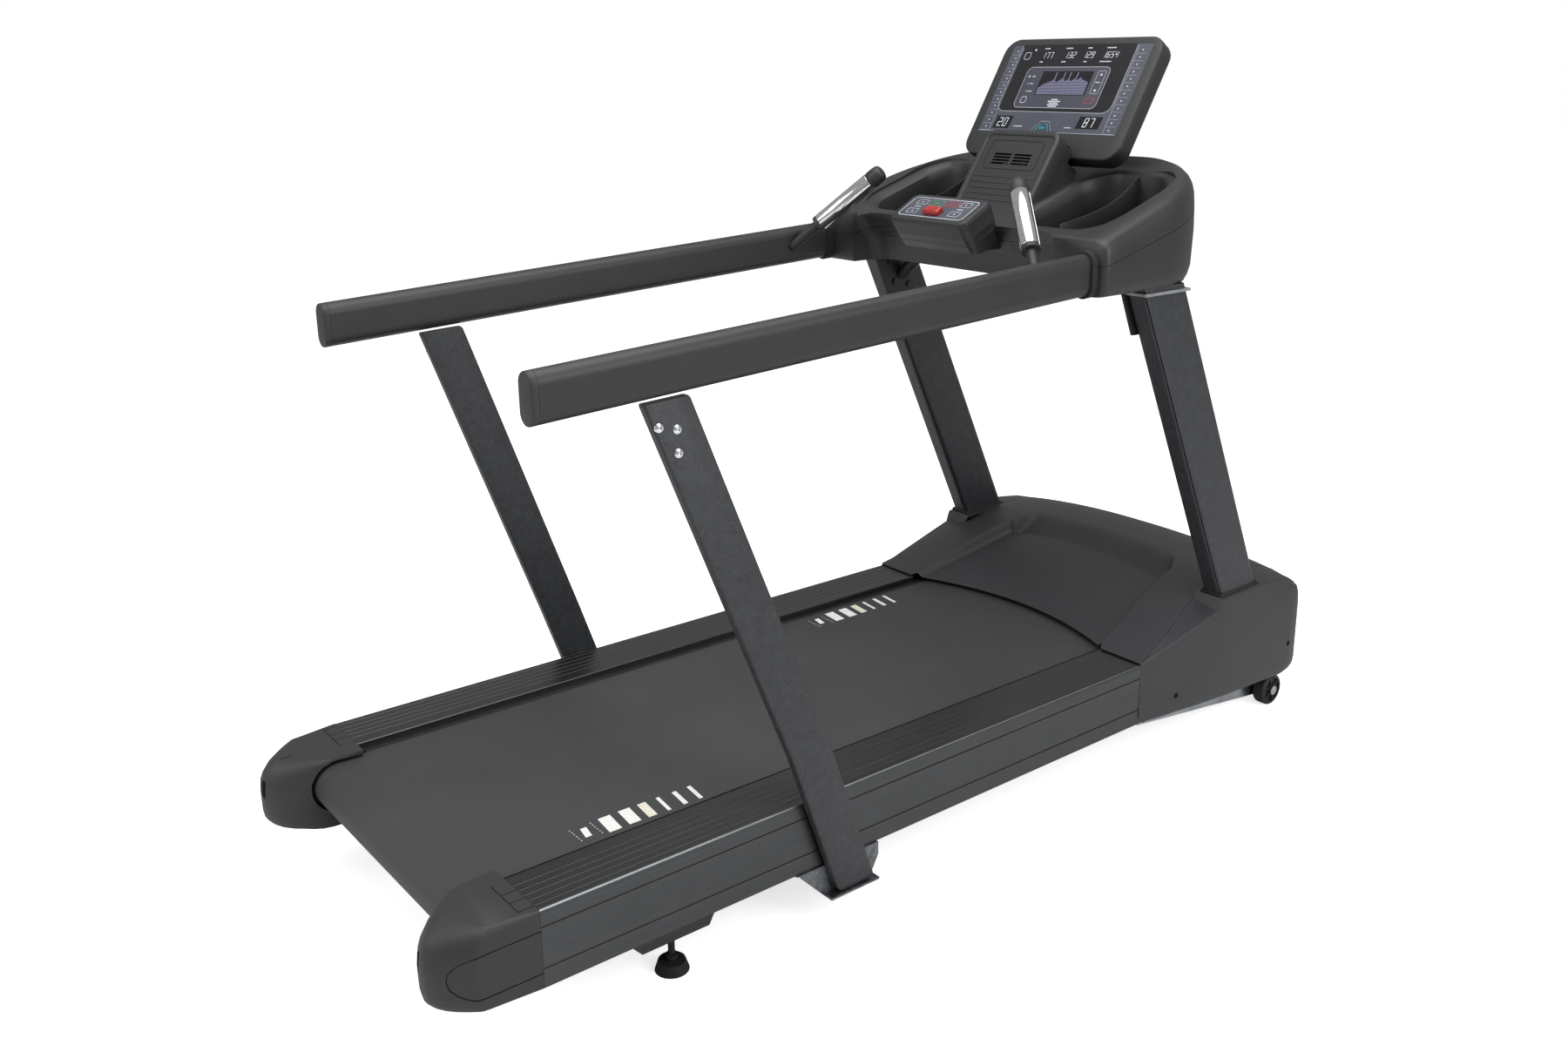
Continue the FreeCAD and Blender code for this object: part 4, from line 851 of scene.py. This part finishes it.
strut = begin("strut_bar_right")
loft([strut_ring(-351, -278, 64, 64, 2), strut_ring(-357, -272, 72, 72),
      strut_ring(-449, -364, 340, 340), strut_ring(-453, -368, 352, 352),
      strut_ring(-694, -610, 995, 999), strut_ring(-695.5, -611.5, 999, 1003, 1.2)])
close(strut, smooth=35)
both_sides(strut, coarse_coat, "coated_steel", "strut_right")

# Button-head screws, chrome plated, with hexagon sockets.
bright_chrome = grained("bright_chrome_plate", "#c9cbce", "#dfe1e3", 6.0, (0.06, 0.14), metallic=1.0)
bolts = begin("strut_button_heads")
for side in (1, -1):
    for y, z in ((-672, 962), (-640, 955), (-640, 918)):
        face = STRUT_OUT - STRUT_LEAN * (z - STRUT_BEND)
        disc([(face - 0.5 + x, r) for x, r in
              ((0, 8.4), (1.2, 8.4), (2.6, 7.6), (3.6, 6.2), (4.2, 4.4), (4.3, 3.4), (2.2, 3.2))],
             y, z, sides=24, side=side)
belong(close(bolts, smooth=30), bright_chrome, "base", "chrome", "strut_bolts")
# Galvanised sheet 4 mm thick, folded: the grain of the zinc shows as a cloudy spangle.
finish_node(grained("galvanised_sheet", "#5c5e61", "#85878a", 5.0, (0.38, 0.55), 0.02,
                    metallic=1.0, broad_mm=14, spread=0.5), "strut_brackets")

# ------------------------------------------------------------------ console
# A deep ABS tray between the handrails, in two shells with an open seam. Its rim rises to a rolled
# crown and falls away into two bowls, each with a curved divider.
console_plastic = grained("fine_textured_black_abs", "#1b1c1d", "#232425", 0.9, (0.42, 0.55), 0.05,
                          broad_mm=140, spread=0.3)
BACK_LINE = [(1056, 590), (1100, 645), (1180, 700), (1231, 720), (1267, 748), (1300, 780)]
USER_Y = 304.0


def rim_plane(y):
    return 1165 + 0.3365 * (y - 310)


def console_outline(inset):
    """The tray from above, drawn in: front, right wall, round corner, back, and back again."""
    half, user, back = 432 - inset, USER_Y + min(10, 0.25 * inset), 722 - 0.72 * inset
    corner, tip = max(60, 235 - inset), 14
    points = [(-half + tip + (2 * half - 2 * tip) * k / 15, user) for k in range(16)]
    points += [(half - tip + tip * math.sin(a), user + tip - tip * math.cos(a))
               for a in (0.39, 0.79, 1.18, 1.57)]
    wall_start, wall_end = user + tip, back - corner
    points += [(half, wall_start + (wall_end - wall_start) * k / 8) for k in range(1, 9)]
    points += [(half - corner + corner * math.cos(a), back - corner + corner * math.sin(a))
               for a in [math.pi / 2 * k / 18 for k in range(1, 19)]]
    points += [(half - corner - (2 * half - 2 * corner) * k / 10, back) for k in range(1, 10)]
    points += [(-x, y) for x, y in reversed(points[16:46])]
    return points


def console_ring(share, inset, fall=0.0):
    crest = console_outline(42)
    points = []
    for (x, y), (_, crest_y) in zip(console_outline(inset), crest):
        if share > 1:
            points.append((x, y, rim_plane(y) - fall))
            continue
        z = 1056 + share * (rim_plane(crest_y) - 1056)
        back = between(BACK_LINE, z) - 0.72 * inset
        room = min(30, max(-30, back - y))
        points.append((x, y if room == 30 else back - (room + 30) ** 2 / 120, z))
    return points


def rounded_plan(cx, cy, half_x, half_y, corner, z_of, count=12):
    points = []
    for quarter, (sx, sy) in enumerate(((1, 1), (-1, 1), (-1, -1), (1, -1))):
        for step in range(count):
            turn = math.pi / 2 * (quarter + step / (count - 1))
            x = cx + sx * (half_x - corner) + corner * math.cos(turn)
            y = cy + sy * (half_y - corner) + corner * math.sin(turn)
            points.append((x, y, z_of(y)))
    return points


def bowl_cutter(side):
    made = begin("bowl_cutter")
    loft([rounded_plan(side * cx, cy, hx, hy, corner, z_of) for cx, cy, hx, hy, corner, z_of in (
        (235, 520, 88, 104, 44, lambda y: 1130), (235, 520, 96, 111, 50, lambda y: 1136),
        (237, 512, 100, 118, 60, lambda y: rim_plane(y) - 40),
        (238, 506, 104, 124, 66, lambda y: rim_plane(y) - 22),
        (240, 500, 112, 132, 74, lambda y: rim_plane(y) - 13),
        (242, 496, 124, 143, 84, lambda y: rim_plane(y) - 8.6),
        (242, 496, 126, 145, 86, lambda y: rim_plane(y) + 40))])
    return close(made)


def block(name, low, high):
    made = begin(name)
    loft([[(low[0], low[1], z), (high[0], low[1], z), (high[0], high[1], z), (low[0], high[1], z)]
          for z in (low[2], high[2])])
    return close(made)


def half_space(name, drop, reach):
    """Everything beyond the seam's plane, on the side of reach."""
    made = begin(name)
    loft([[(x, y, 1102 + 0.26667 * (y - 250) + offset) for x, y in
           ((-600, 100), (600, 100), (600, 900), (-600, 900))] for offset in (drop, reach)])
    return close(made)


def cup_room(grow):
    return [block("cup_room", (side * 246 - 122 - grow, 372 - grow, 1112 - grow),
                  (side * 246 + 122 + grow, 646 + grow, 1300)) for side in (1, -1)]


upper = begin("console_upper_moulding")
loft([console_ring(*level) for level in
      ((0, 22), (0.035, 9), (0.1, 4), (0.18, 1.5), (0.5, 0), (0.72, 1.5), (0.83, 4), (0.9, 8.5),
       (0.95, 16), (0.985, 27), (1, 42), (2, 56, 1.2), (2, 72, 4.5), (2, 88, 8), (2, 100, 9))])
close(upper)
notch = begin("front_notch")
front = [(1000, 408), (1100, 388), (1160, 352), (rim_plane(345) - 22, 345),
         (rim_plane(345) - 9, 338), (1250, 326)]
loft([[(-299, 250, z), (299, 250, z), (299, y - 44, z), (292, y - 20, z), (276, y - 5, z),
       (250, y, z), (-250, y, z), (-276, y - 5, z), (-292, y - 20, z), (-299, y - 44, z)]
      for z, y in front])
close(notch)
cut(upper, notch, bowl_cutter(1), bowl_cutter(-1), own=True)
bpy.ops.object.duplicate()
lower = bpy.context.object
lower.name = lower.data.name = "console_lower_moulding"
below = half_space("below_seam", 0.5, -400)
cut(below, *cup_room(0))
cut(upper, below, own=True, smooth=35)
belong(upper, console_plastic, "base", "shell_plastic", "console_upper_shell")
cut(lower, half_space("above_seam", -0.5, 400), *cup_room(0.6), own=True, smooth=35)
belong(lower, console_plastic, "base", "shell_plastic", "console_lower_shell")
RIB_TOP = [(392, 1176), (420, 1180), (460, 1187), (500, 1195), (540, 1206), (575, 1221),
           (605, 1240), (628, 1258)]
ribs = begin("bowl_dividers")
for side in (1, -1):
    profile = [(392, 1131), (628, 1131)] + list(reversed(RIB_TOP))
    loft([[(side * x, y, z) for y, z in profile] for x in (236, 239)])
belong(close(ribs, bevel_mm=0.9), console_plastic, "base", "shell_plastic")


def panel_place(center, tilt):
    """Where a leaning panel stands: its own Y runs into it and its own Z runs up it."""
    lean = math.radians(tilt)
    basis = Matrix(((1, 0, 0), (0, math.cos(lean), math.sin(lean)),
                    (0, -math.sin(lean), math.cos(lean)))).to_4x4()
    return Matrix.Translation(mm(center)) @ basis


def rounded_face(half_x, half_z, corner, y, cx=0.0, cz=0.0, count=8):
    return [(x, y, z) for x, z, _ in rounded_plan(cx, cz, half_x, half_z, corner, lambda _: 0, count)]


def pillow(half_x, half_z, corner, levels, cx=0.0, cz=0.0):
    """A rounded panel whose outline draws in as given: levels are (depth, inset)."""
    loft([rounded_face(half_x - inset, half_z - inset, max(0.5, corner - inset), y, cx, cz)
          for y, inset in levels])


# ------------------------------------------------------------------ neck
# An ABS fascia that leans back to carry the display: a raised border, a louvred outlet for the fan
# and low ribs. A plain cover closes its back.
NECK = panel_place((0, 479, 1268), 34)
fascia = begin("neck_fascia")
pillow(109, 98, 26, ((33.8, 1), (8, 0), (3, 1.2), (0.8, 3.6), (0, 7), (0, 12), (0.8, 14), (2.4, 15)))
close(fascia)
cutters = [block("fan_pocket", (-62, 5.5, 2), (62, 40, 74))]
for column in (-1, 1):
    for row in range(4):
        z = 15 + 7.4 * row
        slot = begin("louvre_slot")
        loft([rounded_face(25, 2.3, 1.2, y, column * 29, z, 3) for y in (-2, 8)])
        cutters.append(close(slot))
cut(fascia, *cutters, place=NECK, smooth=30)
belong(fascia, console_plastic, "base", "shell_plastic", "neck_front_cover", "fan_grille")


def outline_bar(half_x, half_z, corner, wide, low, high, cx=0.0, cz=0.0):
    """A raised line that runs round a rounded rectangle."""
    outer = rounded_face(half_x, half_z, corner, high, cx, cz)
    inner = rounded_face(half_x - wide, half_z - wide, max(0.3, corner - wide), high, cx, cz)

    def at(points, y):
        return [(x, y, z) for x, _, z in points]
    loft([at(outer, high), at(outer, low), at(inner, low), at(inner, high)], hollow=True)
    loft([at(inner, high), at(outer, high)], hollow=True)


ridges = begin("neck_ribs")
outline_bar(76, 36, 8, 2.2, 1.4, 2.6, cz=37)
for row in range(5):
    pillow(88 - row, 1.6, 1.0, ((2.6, 0), (1.7, 0.1), (1.4, 0.7)), cz=-18 - 14 * row)
belong(close(ridges, place=NECK), console_plastic, "base", "shell_plastic")
finish_node(console_plastic, "neck_back_cover", "fan_impeller")

# ------------------------------------------------------------------ display
# A shallow ABS housing on top of the neck, front frame and back cover, that holds one printed film
# with a smoked window over light-emitting read-outs and membrane keys in columns at both sides.
DISPLAY = panel_place((0, 640, 1416), 31.5)
frame_front = begin("display_front_frame")
pillow(224, 146.5, 38, ((17.9, 0.3), (6, 0), (2.6, 0.9), (0.7, 3), (0, 6.5)))
close(frame_front)
recess = begin("film_recess")
loft([rounded_face(198.4, 108.9, 6.5, y, 0, 20) for y in (-1, 2.2)])
cut(frame_front, close(recess), place=DISPLAY, smooth=30)
belong(frame_front, console_plastic, "base", "shell_plastic", "display_front_housing")
back_cover = begin("display_rear_cover")
pillow(223.6, 146.1, 38, ((45.9, 12), (44, 6), (40, 2), (34, 0.2), (18.5, 0), (18.2, 0.8)))
belong(close(back_cover, place=DISPLAY, smooth=35), console_plastic, "base", "shell_plastic",
       "display_back_cover")
# Glass-reinforced epoxy under green solder resist.
finish_node(grained("green_solder_resist", "#0c3a22", "#11492c", 3.0, (0.25, 0.4), 0.01),
            "display_board")


def tile(x0, x1, z0, z1, slant=0.0, front=-0.15):
    """A thin printed patch; slant moves its upper edge sideways."""
    loft([[(x0, y, z0), (x1, y, z0), (x1 + slant, y, z1), (x0 + slant, y, z1)]
          for y in (0.05, front)])


def film(name, dark, light, gloss=(0.28, 0.4)):
    """Screen-printed polyester film: a tight satin grain under a faint sheen."""
    return grained(name, dark, light, 1.2, gloss, 0.004, broad_mm=90, spread=0.5)


KEY_ROWS = [113 - 17.35 * key for key in range(12)]
SEGMENTS = {"0": "abcdef", "1": "bc", "2": "abged", "3": "abgcd", "4": "fgbc", "5": "afgcd",
            "6": "afgcde", "7": "abc", "8": "abcdefg", "9": "abcfgd"}


def digits(text, cx, cz, tall, front):
    """Seven-segment figures, leaning a little as on any read-out."""
    wide, bar = tall * 0.5, tall * 0.085
    start = cx - len(text) * (wide * 1.45) / 2
    for index, figure in enumerate(text):
        x, low, mid, high = start + index * wide * 1.45, cz - tall / 2, cz, cz + tall / 2
        spans = {"a": (0, wide, high - bar, high), "g": (0, wide, mid - bar / 2, mid + bar / 2),
                 "d": (0, wide, low, low + bar), "f": (0, bar, mid, high),
                 "b": (wide - bar, wide, mid, high), "e": (0, bar, low, mid),
                 "c": (wide - bar, wide, low, mid)}
        for letter in SEGMENTS[figure]:
            x0, x1, z0, z1 = spans[letter]
            shift = (z0 - low) * 0.14
            tile(x + x0 + shift + 0.2, x + x1 + shift - 0.2, z0 + 0.2, z1 - 0.2,
                 (z1 - z0) * 0.14, front)


def printed(piece, material, *nodes, place=DISPLAY):
    """Closes a printed piece, lays it on its panel and gives it its ink or film."""
    return belong(close(piece, place=place), material, "base", "printed_film", *nodes)


# Blue-grey base film, then the smoked window and the blue-grey panel that lies on it.
base_film = film("blue_grey_film", "#3d3f4a", "#43454f")
sheet = begin("display_film")
pillow(198, 108.5, 6, ((2, 0), (0.3, 0), (0.05, 0.4)), cz=20)
printed(sheet, base_film, "display_overlay")
window = begin("display_window")
loft([[(x, y, z) for x, z in [(-169, 128), (-169, -18)] +
       [(-149 - 20 * math.cos(a), -18 - 20 * math.sin(a)) for a in (0.4, 0.8, 1.2, 1.57)] +
       [(138 + 20 * math.sin(a), -18 - 20 * math.cos(a)) for a in (0, 0.4, 0.8, 1.2)] +
       [(158, -18), (158, 128)]] for y in (0.05, -0.1)])
printed(window, film("smoked_window_film", "#141417", "#18181b", (0.12, 0.2)))
inner = begin("display_inner_panel")
pillow(119, 51, 14, ((0, 0), (-0.2, 0)), cx=-5, cz=22)
outer_bump = [(-42, -88.4), (-20, -62), (4, -62), (21, -88.4)]
loft([[(x, y, z) for x, z in outer_bump] for y in (0, -0.2)])
printed(inner, film("slate_film", "#34353f", "#393a44"))
dark = begin("display_readout_windows")
tile(-75, 70, 3, 62, front=-0.3)
tile(-158, -110, -81, -50, 3, front=-0.3)
tile(83, 145, -76, -47, 3, front=-0.3)
printed(dark, film("readout_lens", "#0c0d10", "#101115", (0.1, 0.16)))

lines = begin("display_light_lines")
outline_bar(119, 51, 14, 1.3, 0, -0.35, cx=-5, cz=22)
outline_bar(11.5, 28, 4, 1.1, 0, -0.35, cx=93.5, cz=35)
tile(-170.2, -168.8, -18, 127, front=-0.3)
tile(157.8, 159.2, -18, 127, front=-0.3)
tile(-149, 138, -39.2, -37.8, front=-0.3)
for a, b in zip((0, 0.4, 0.8, 1.2), (0.4, 0.8, 1.2, 1.57)):
    for sx, cx in ((-1, -149), (1, 138)):
        loft([[(cx + sx * r * math.cos(t), y, -18 - r * math.sin(t)) for r, t in
               ((19.4, a), (20.8, a), (20.8, b), (19.4, b))] for y in (0, -0.3)])
for (xa, za), (xb, zb) in zip(outer_bump, outer_bump[1:]):
    loft([[(x, y, z) for x, z in ((xa, za), (xb, zb), (xb, zb + 1.3), (xa, za + 1.3))]
          for y in (0, -0.35)])
tile(-198, -42, -88.4, -87.2, front=-0.3)
tile(21, 198, -88.4, -87.2, front=-0.3)
for column, x in ((-192, -1), (163, 1)):
    for z in KEY_ROWS:
        tile(column, column + 27, z - 9.2, z - 8.5, front=-0.25)
    tile(column if x > 0 else column + 26.4, column + 0.8 if x > 0 else column + 27.2, -88, 122,
         front=-0.25)
printed(lines, film("pale_line_ink", "#8f919b", "#9a9ca6"))

marks = begin("display_legends")
for column in (-178.5, 176.5):
    for z in KEY_ROWS:
        pillow(1.7, 1.7, 1.6, ((0, 0), (-0.3, 0)), cx=column, cz=z)
for x, z, half in ((-91, 119, 9), (-27, 119, 10), (32, 119, 7), (92, 119, 14), (-94, 85.5, 6),
                   (-29, 85.5, 7), (32, 85.5, 5), (89, 85.5, 16), (-81, -75, 14), (64, -75, 11),
                   (-96, 49, 6), (-95, 31, 6), (-92, 12, 7), (93, 35, 7)):
    for letter in range(int(half * 2 / 3.2)):
        tile(x - half + 3.2 * letter, x - half + 3.2 * letter + 2.2, z - 1.3, z + 1.3, 0.4, -0.35)
for x, z, r in ((-126, 116, 2.6), (-111, 49, 2.4), (-107, 31, 1.2), (-103, 12, 1.2)):
    pillow(r, r, r * 0.98, ((0, 0), (-0.4, 0)), cx=x, cz=z)
for row, half in enumerate((9, 18, 13, 16, 12)):
    tile(-8 - half, -8 + half, -9 - 4.2 * row, -6.6 - 4.2 * row, front=-0.35)
outline_bar(9, 9, 4.5, 1.1, 0, -0.35, cx=-144, cz=101)
outline_bar(8, 8, 4, 1.1, 0, -0.35, cx=-100, cz=-9)
for z, point in ((54, 1), (15, -1)):
    loft([[(90, y, z - 2.5 * point), (97, y, z - 2.5 * point), (94.5, y, z + 2.5 * point),
           (92.5, y, z + 2.5 * point)] for y in (0, -0.4)])
printed(marks, film("light_grey_legend_ink", "#b4b6bd", "#c2c4ca"))


# The read-outs and the dot matrix glow faintly through their lenses.
def lamp(name, colour, strength):
    """An even glow of one colour over each patch: light-emitting polymer in the read-outs and the dot
    matrix, and a painted glow on the printed ink of the start key.
    """
    return grained(name, colour, colour, 2.0, (0.3, 0.4), fixed={
        "Emission Color": linear(colour), "Emission Strength": strength})


figures = begin("display_readouts")
for text, x, z, tall in (("177", -83, 102, 15), ("132", -17, 102, 15), ("129", 36, 102, 15),
                         ("1654", 96, 102, 15), ("20", -132, -65.5, 22), ("87", 116, -61.5, 22)):
    digits(text, x, z, tall, -0.45)
printed(figures, lamp("white_led_readout", "#c9cbd2", 0.25))
PROFILE = [6, 7, 8, 9, 9, 10, 10, 11, 12, 18, 11, 10, 11, 12, 13, 18, 12, 11, 12, 18, 12, 11, 12,
           13, 18, 12, 13, 14, 13, 12, 12, 11, 11, 10]
dots = begin("display_dot_matrix")
for index, tall in enumerate(PROFILE):
    x = -71 + 4.05 * index
    for row in range(tall):
        tile(x, x + 2.7, 5 + 3.05 * row, 6.9 + 3.05 * row, 0, -0.4)
printed(dots, lamp("lavender_led_matrix", "#7d7b99", 0.16))
# The start key's teal ink is given a faint glow: painted light, as the printed key is no lamp.
teal = begin("display_start_key")
for (xa, za), (xb, zb) in (((-30, -86), (-18, -67)), ((-18, -67), (0, -67)), ((0, -67), (9, -86))):
    loft([[(x, y, z) for x, z in ((xa, za), (xb, zb), (xb + 1.8, zb - 1.6), (xa + 2.4, za))]
          for y in (-0.1, -0.5)])
for letter in range(3):
    tile(-17 + 5 * letter, -13.6 + 5 * letter, -80, -74, 0.8, -0.5)
printed(teal, lamp("teal_key_ink_painted_glow", "#1c7c88", 0.25))
red_ink = film("signal_red_ink", "#a02c30", "#ab3337")
stop = begin("display_stop_outline")
outline_bar(12, 7, 3, 1.2, 0, -0.4, cx=89.5, cz=-9)
printed(stop, red_ink)

# ------------------------------------------------------------------ control pod
# The nearer key panel on its own moulded pod, with the safety key: a red block that is pulled off
# to stop the belt, held by a magnet under the film.
POD = panel_place((0, 283, 1197), 61)
pod = begin("control_pod")
pillow(113, 48, 18, ((88, 10), (60, 5), (58.5, 4.2), (57, 4.4), (42, 2), (40.5, 1.2), (39, 1.4),
                     (12, 0), (5, 0.6), (1.5, 3), (0, 6.5)))
close(pod)
pod.data.transform(POD)
cut(pod, block("pod_floor", (-200, 0, 900), (200, 600, 1112)),
    block("pod_back", (-200, 398, 900), (200, 600, 1400)), smooth=30)
bracket = block("pod_bracket", (-90, 322, 1113), (90, 400, 1159))
modify(bracket, "BEVEL", width=0.006, segments=3)
bpy.ops.object.shade_smooth_by_angle(angle=math.radians(35))
belong(pod, console_plastic, "base", "shell_plastic", "pod_housing")
belong(bracket, console_plastic, "base", "shell_plastic")
sheet = begin("pod_film")
pillow(97, 35, 12, ((0.9, 0), (-0.3, 0), (-0.45, 0.3)))
printed(sheet, base_film, "pod_overlay", place=POD)
edge = begin("pod_light_lines")
outline_bar(96, 34, 11, 2.0, -0.3, -0.8)
for x, z in ((-62, 17), (-64, -16), (65, 19), (60, -15)):
    outline_bar(15, 8.5, 3, 1.3, -0.4, -0.8, cx=x, cz=z)
    pillow(2.4, 1.8, 1.6, ((-0.4, 0), (-0.8, 0)), cx=x, cz=z)
for x, z in ((-62, 0.5), (63, 1.7)):
    for letter in range(5):
        tile(x - 9 + 3.7 * letter, x - 6.4 + 3.7 * letter, z - 1.8, z + 1.8, 0.5, -0.8)
printed(edge, film("light_border_ink", "#a7a9b0", "#b4b6bd"), place=POD)
for name, cx, ink in (("pod_start_outline", -19.5, film("signal_green_ink", "#3f8c5d", "#469665")),
                      ("pod_stop_outline", 25.5, red_ink)):
    key_line = begin(name)
    outline_bar(19, 9, 3, 1.5, -0.4, -0.8, cx=cx, cz=17)
    for letter in range(5):
        tile(cx - 9 + 3.7 * letter, cx - 6.4 + 3.7 * letter, 15.4, 18.8, 0.5, -0.8)
    printed(key_line, ink, place=POD)
# Red polycarbonate, moulded to a polish: deep red under a thin gloss.
red_plastic = grained("red_polycarbonate", "#8c1714", "#9c1f1a", 1.0, (0.25, 0.38), 0.01,
                      fixed={"Coat Weight": 0.2})
key = begin("safety_key_block")
pillow(22, 11, 4, ((-0.2, 0.6), (-1.4, 0), (-8, 0), (-10.4, 0.9), (-11.6, 2.6), (-12, 4.4)), cz=-16)
for ridge in (-5, 0, 5):
    pillow(1.1, 6, 1, ((-11, 0), (-11.9, 0)), cx=ridge * 2, cz=-16)
belong(close(key, place=POD, smooth=35), red_plastic, "safety_key", "red_plastic", "safety_key")

# ------------------------------------------------------------------ heart-rate grips
# On each side a coated steel tube bends up from the handrail and carries a moulded grip with two
# chromed steel contact plates, which meet along seams of bare plastic.
GRIP_LOW, GRIP_HIGH = Vector((341, 205, 1122)), Vector((203, 302, 1259))
along = (GRIP_HIGH - GRIP_LOW).normalized()
across = along.cross(Vector((1, 0, 0))).normalized()
beyond = along.cross(across)
reach = (GRIP_HIGH - GRIP_LOW).length


def grip_ring(distance, radius, start=0.0, end=2 * math.pi, count=32):
    """Points round the grip's own axis, at a distance along it."""
    points = []
    for k in range(count):
        turn = start + (end - start) * k / (count - (0 if end - start > 6.2 else 1))
        points.append(GRIP_LOW + along * distance +
                      (across * math.cos(turn) + beyond * math.sin(turn)) * radius)
    return points


sleeve = begin("grip_sleeve_right")
loft([grip_ring(d, r) for d, r in ((33, 11.6), (33.4, 17), (34.5, 18.6), (40, 18.9), (43, 18),
                                   (reach - 28, 18), (reach - 26, 19.4), (reach - 10, 19.2),
                                   (reach - 1, 18), (reach + 3, 15.4), (reach + 5.4, 10.6),
                                   (reach + 6, 5))])
close(sleeve, smooth=40)
both_sides(sleeve, console_plastic, "shell_plastic", "grip_bodies")
plates = begin("grip_contacts_right")
for middle in (0, math.pi):
    rings = []
    for distance, lift in ((44, 18.0), (44, 18.8), (45, 19.2), (reach - 31, 19.2), (reach - 30, 18.8),
                           (reach - 30, 18.0)):
        rings.append(grip_ring(distance, lift, middle - 1.32, middle + 1.32, 20) +
                     list(reversed(grip_ring(distance, 17.2, middle - 1.32, middle + 1.32, 20))))
    loft(rings)
close(plates, smooth=40)
both_sides(plates, bright_chrome, "chrome", "grip_sensor_plates")
finish_node(frame_coat, "grip_tubes")
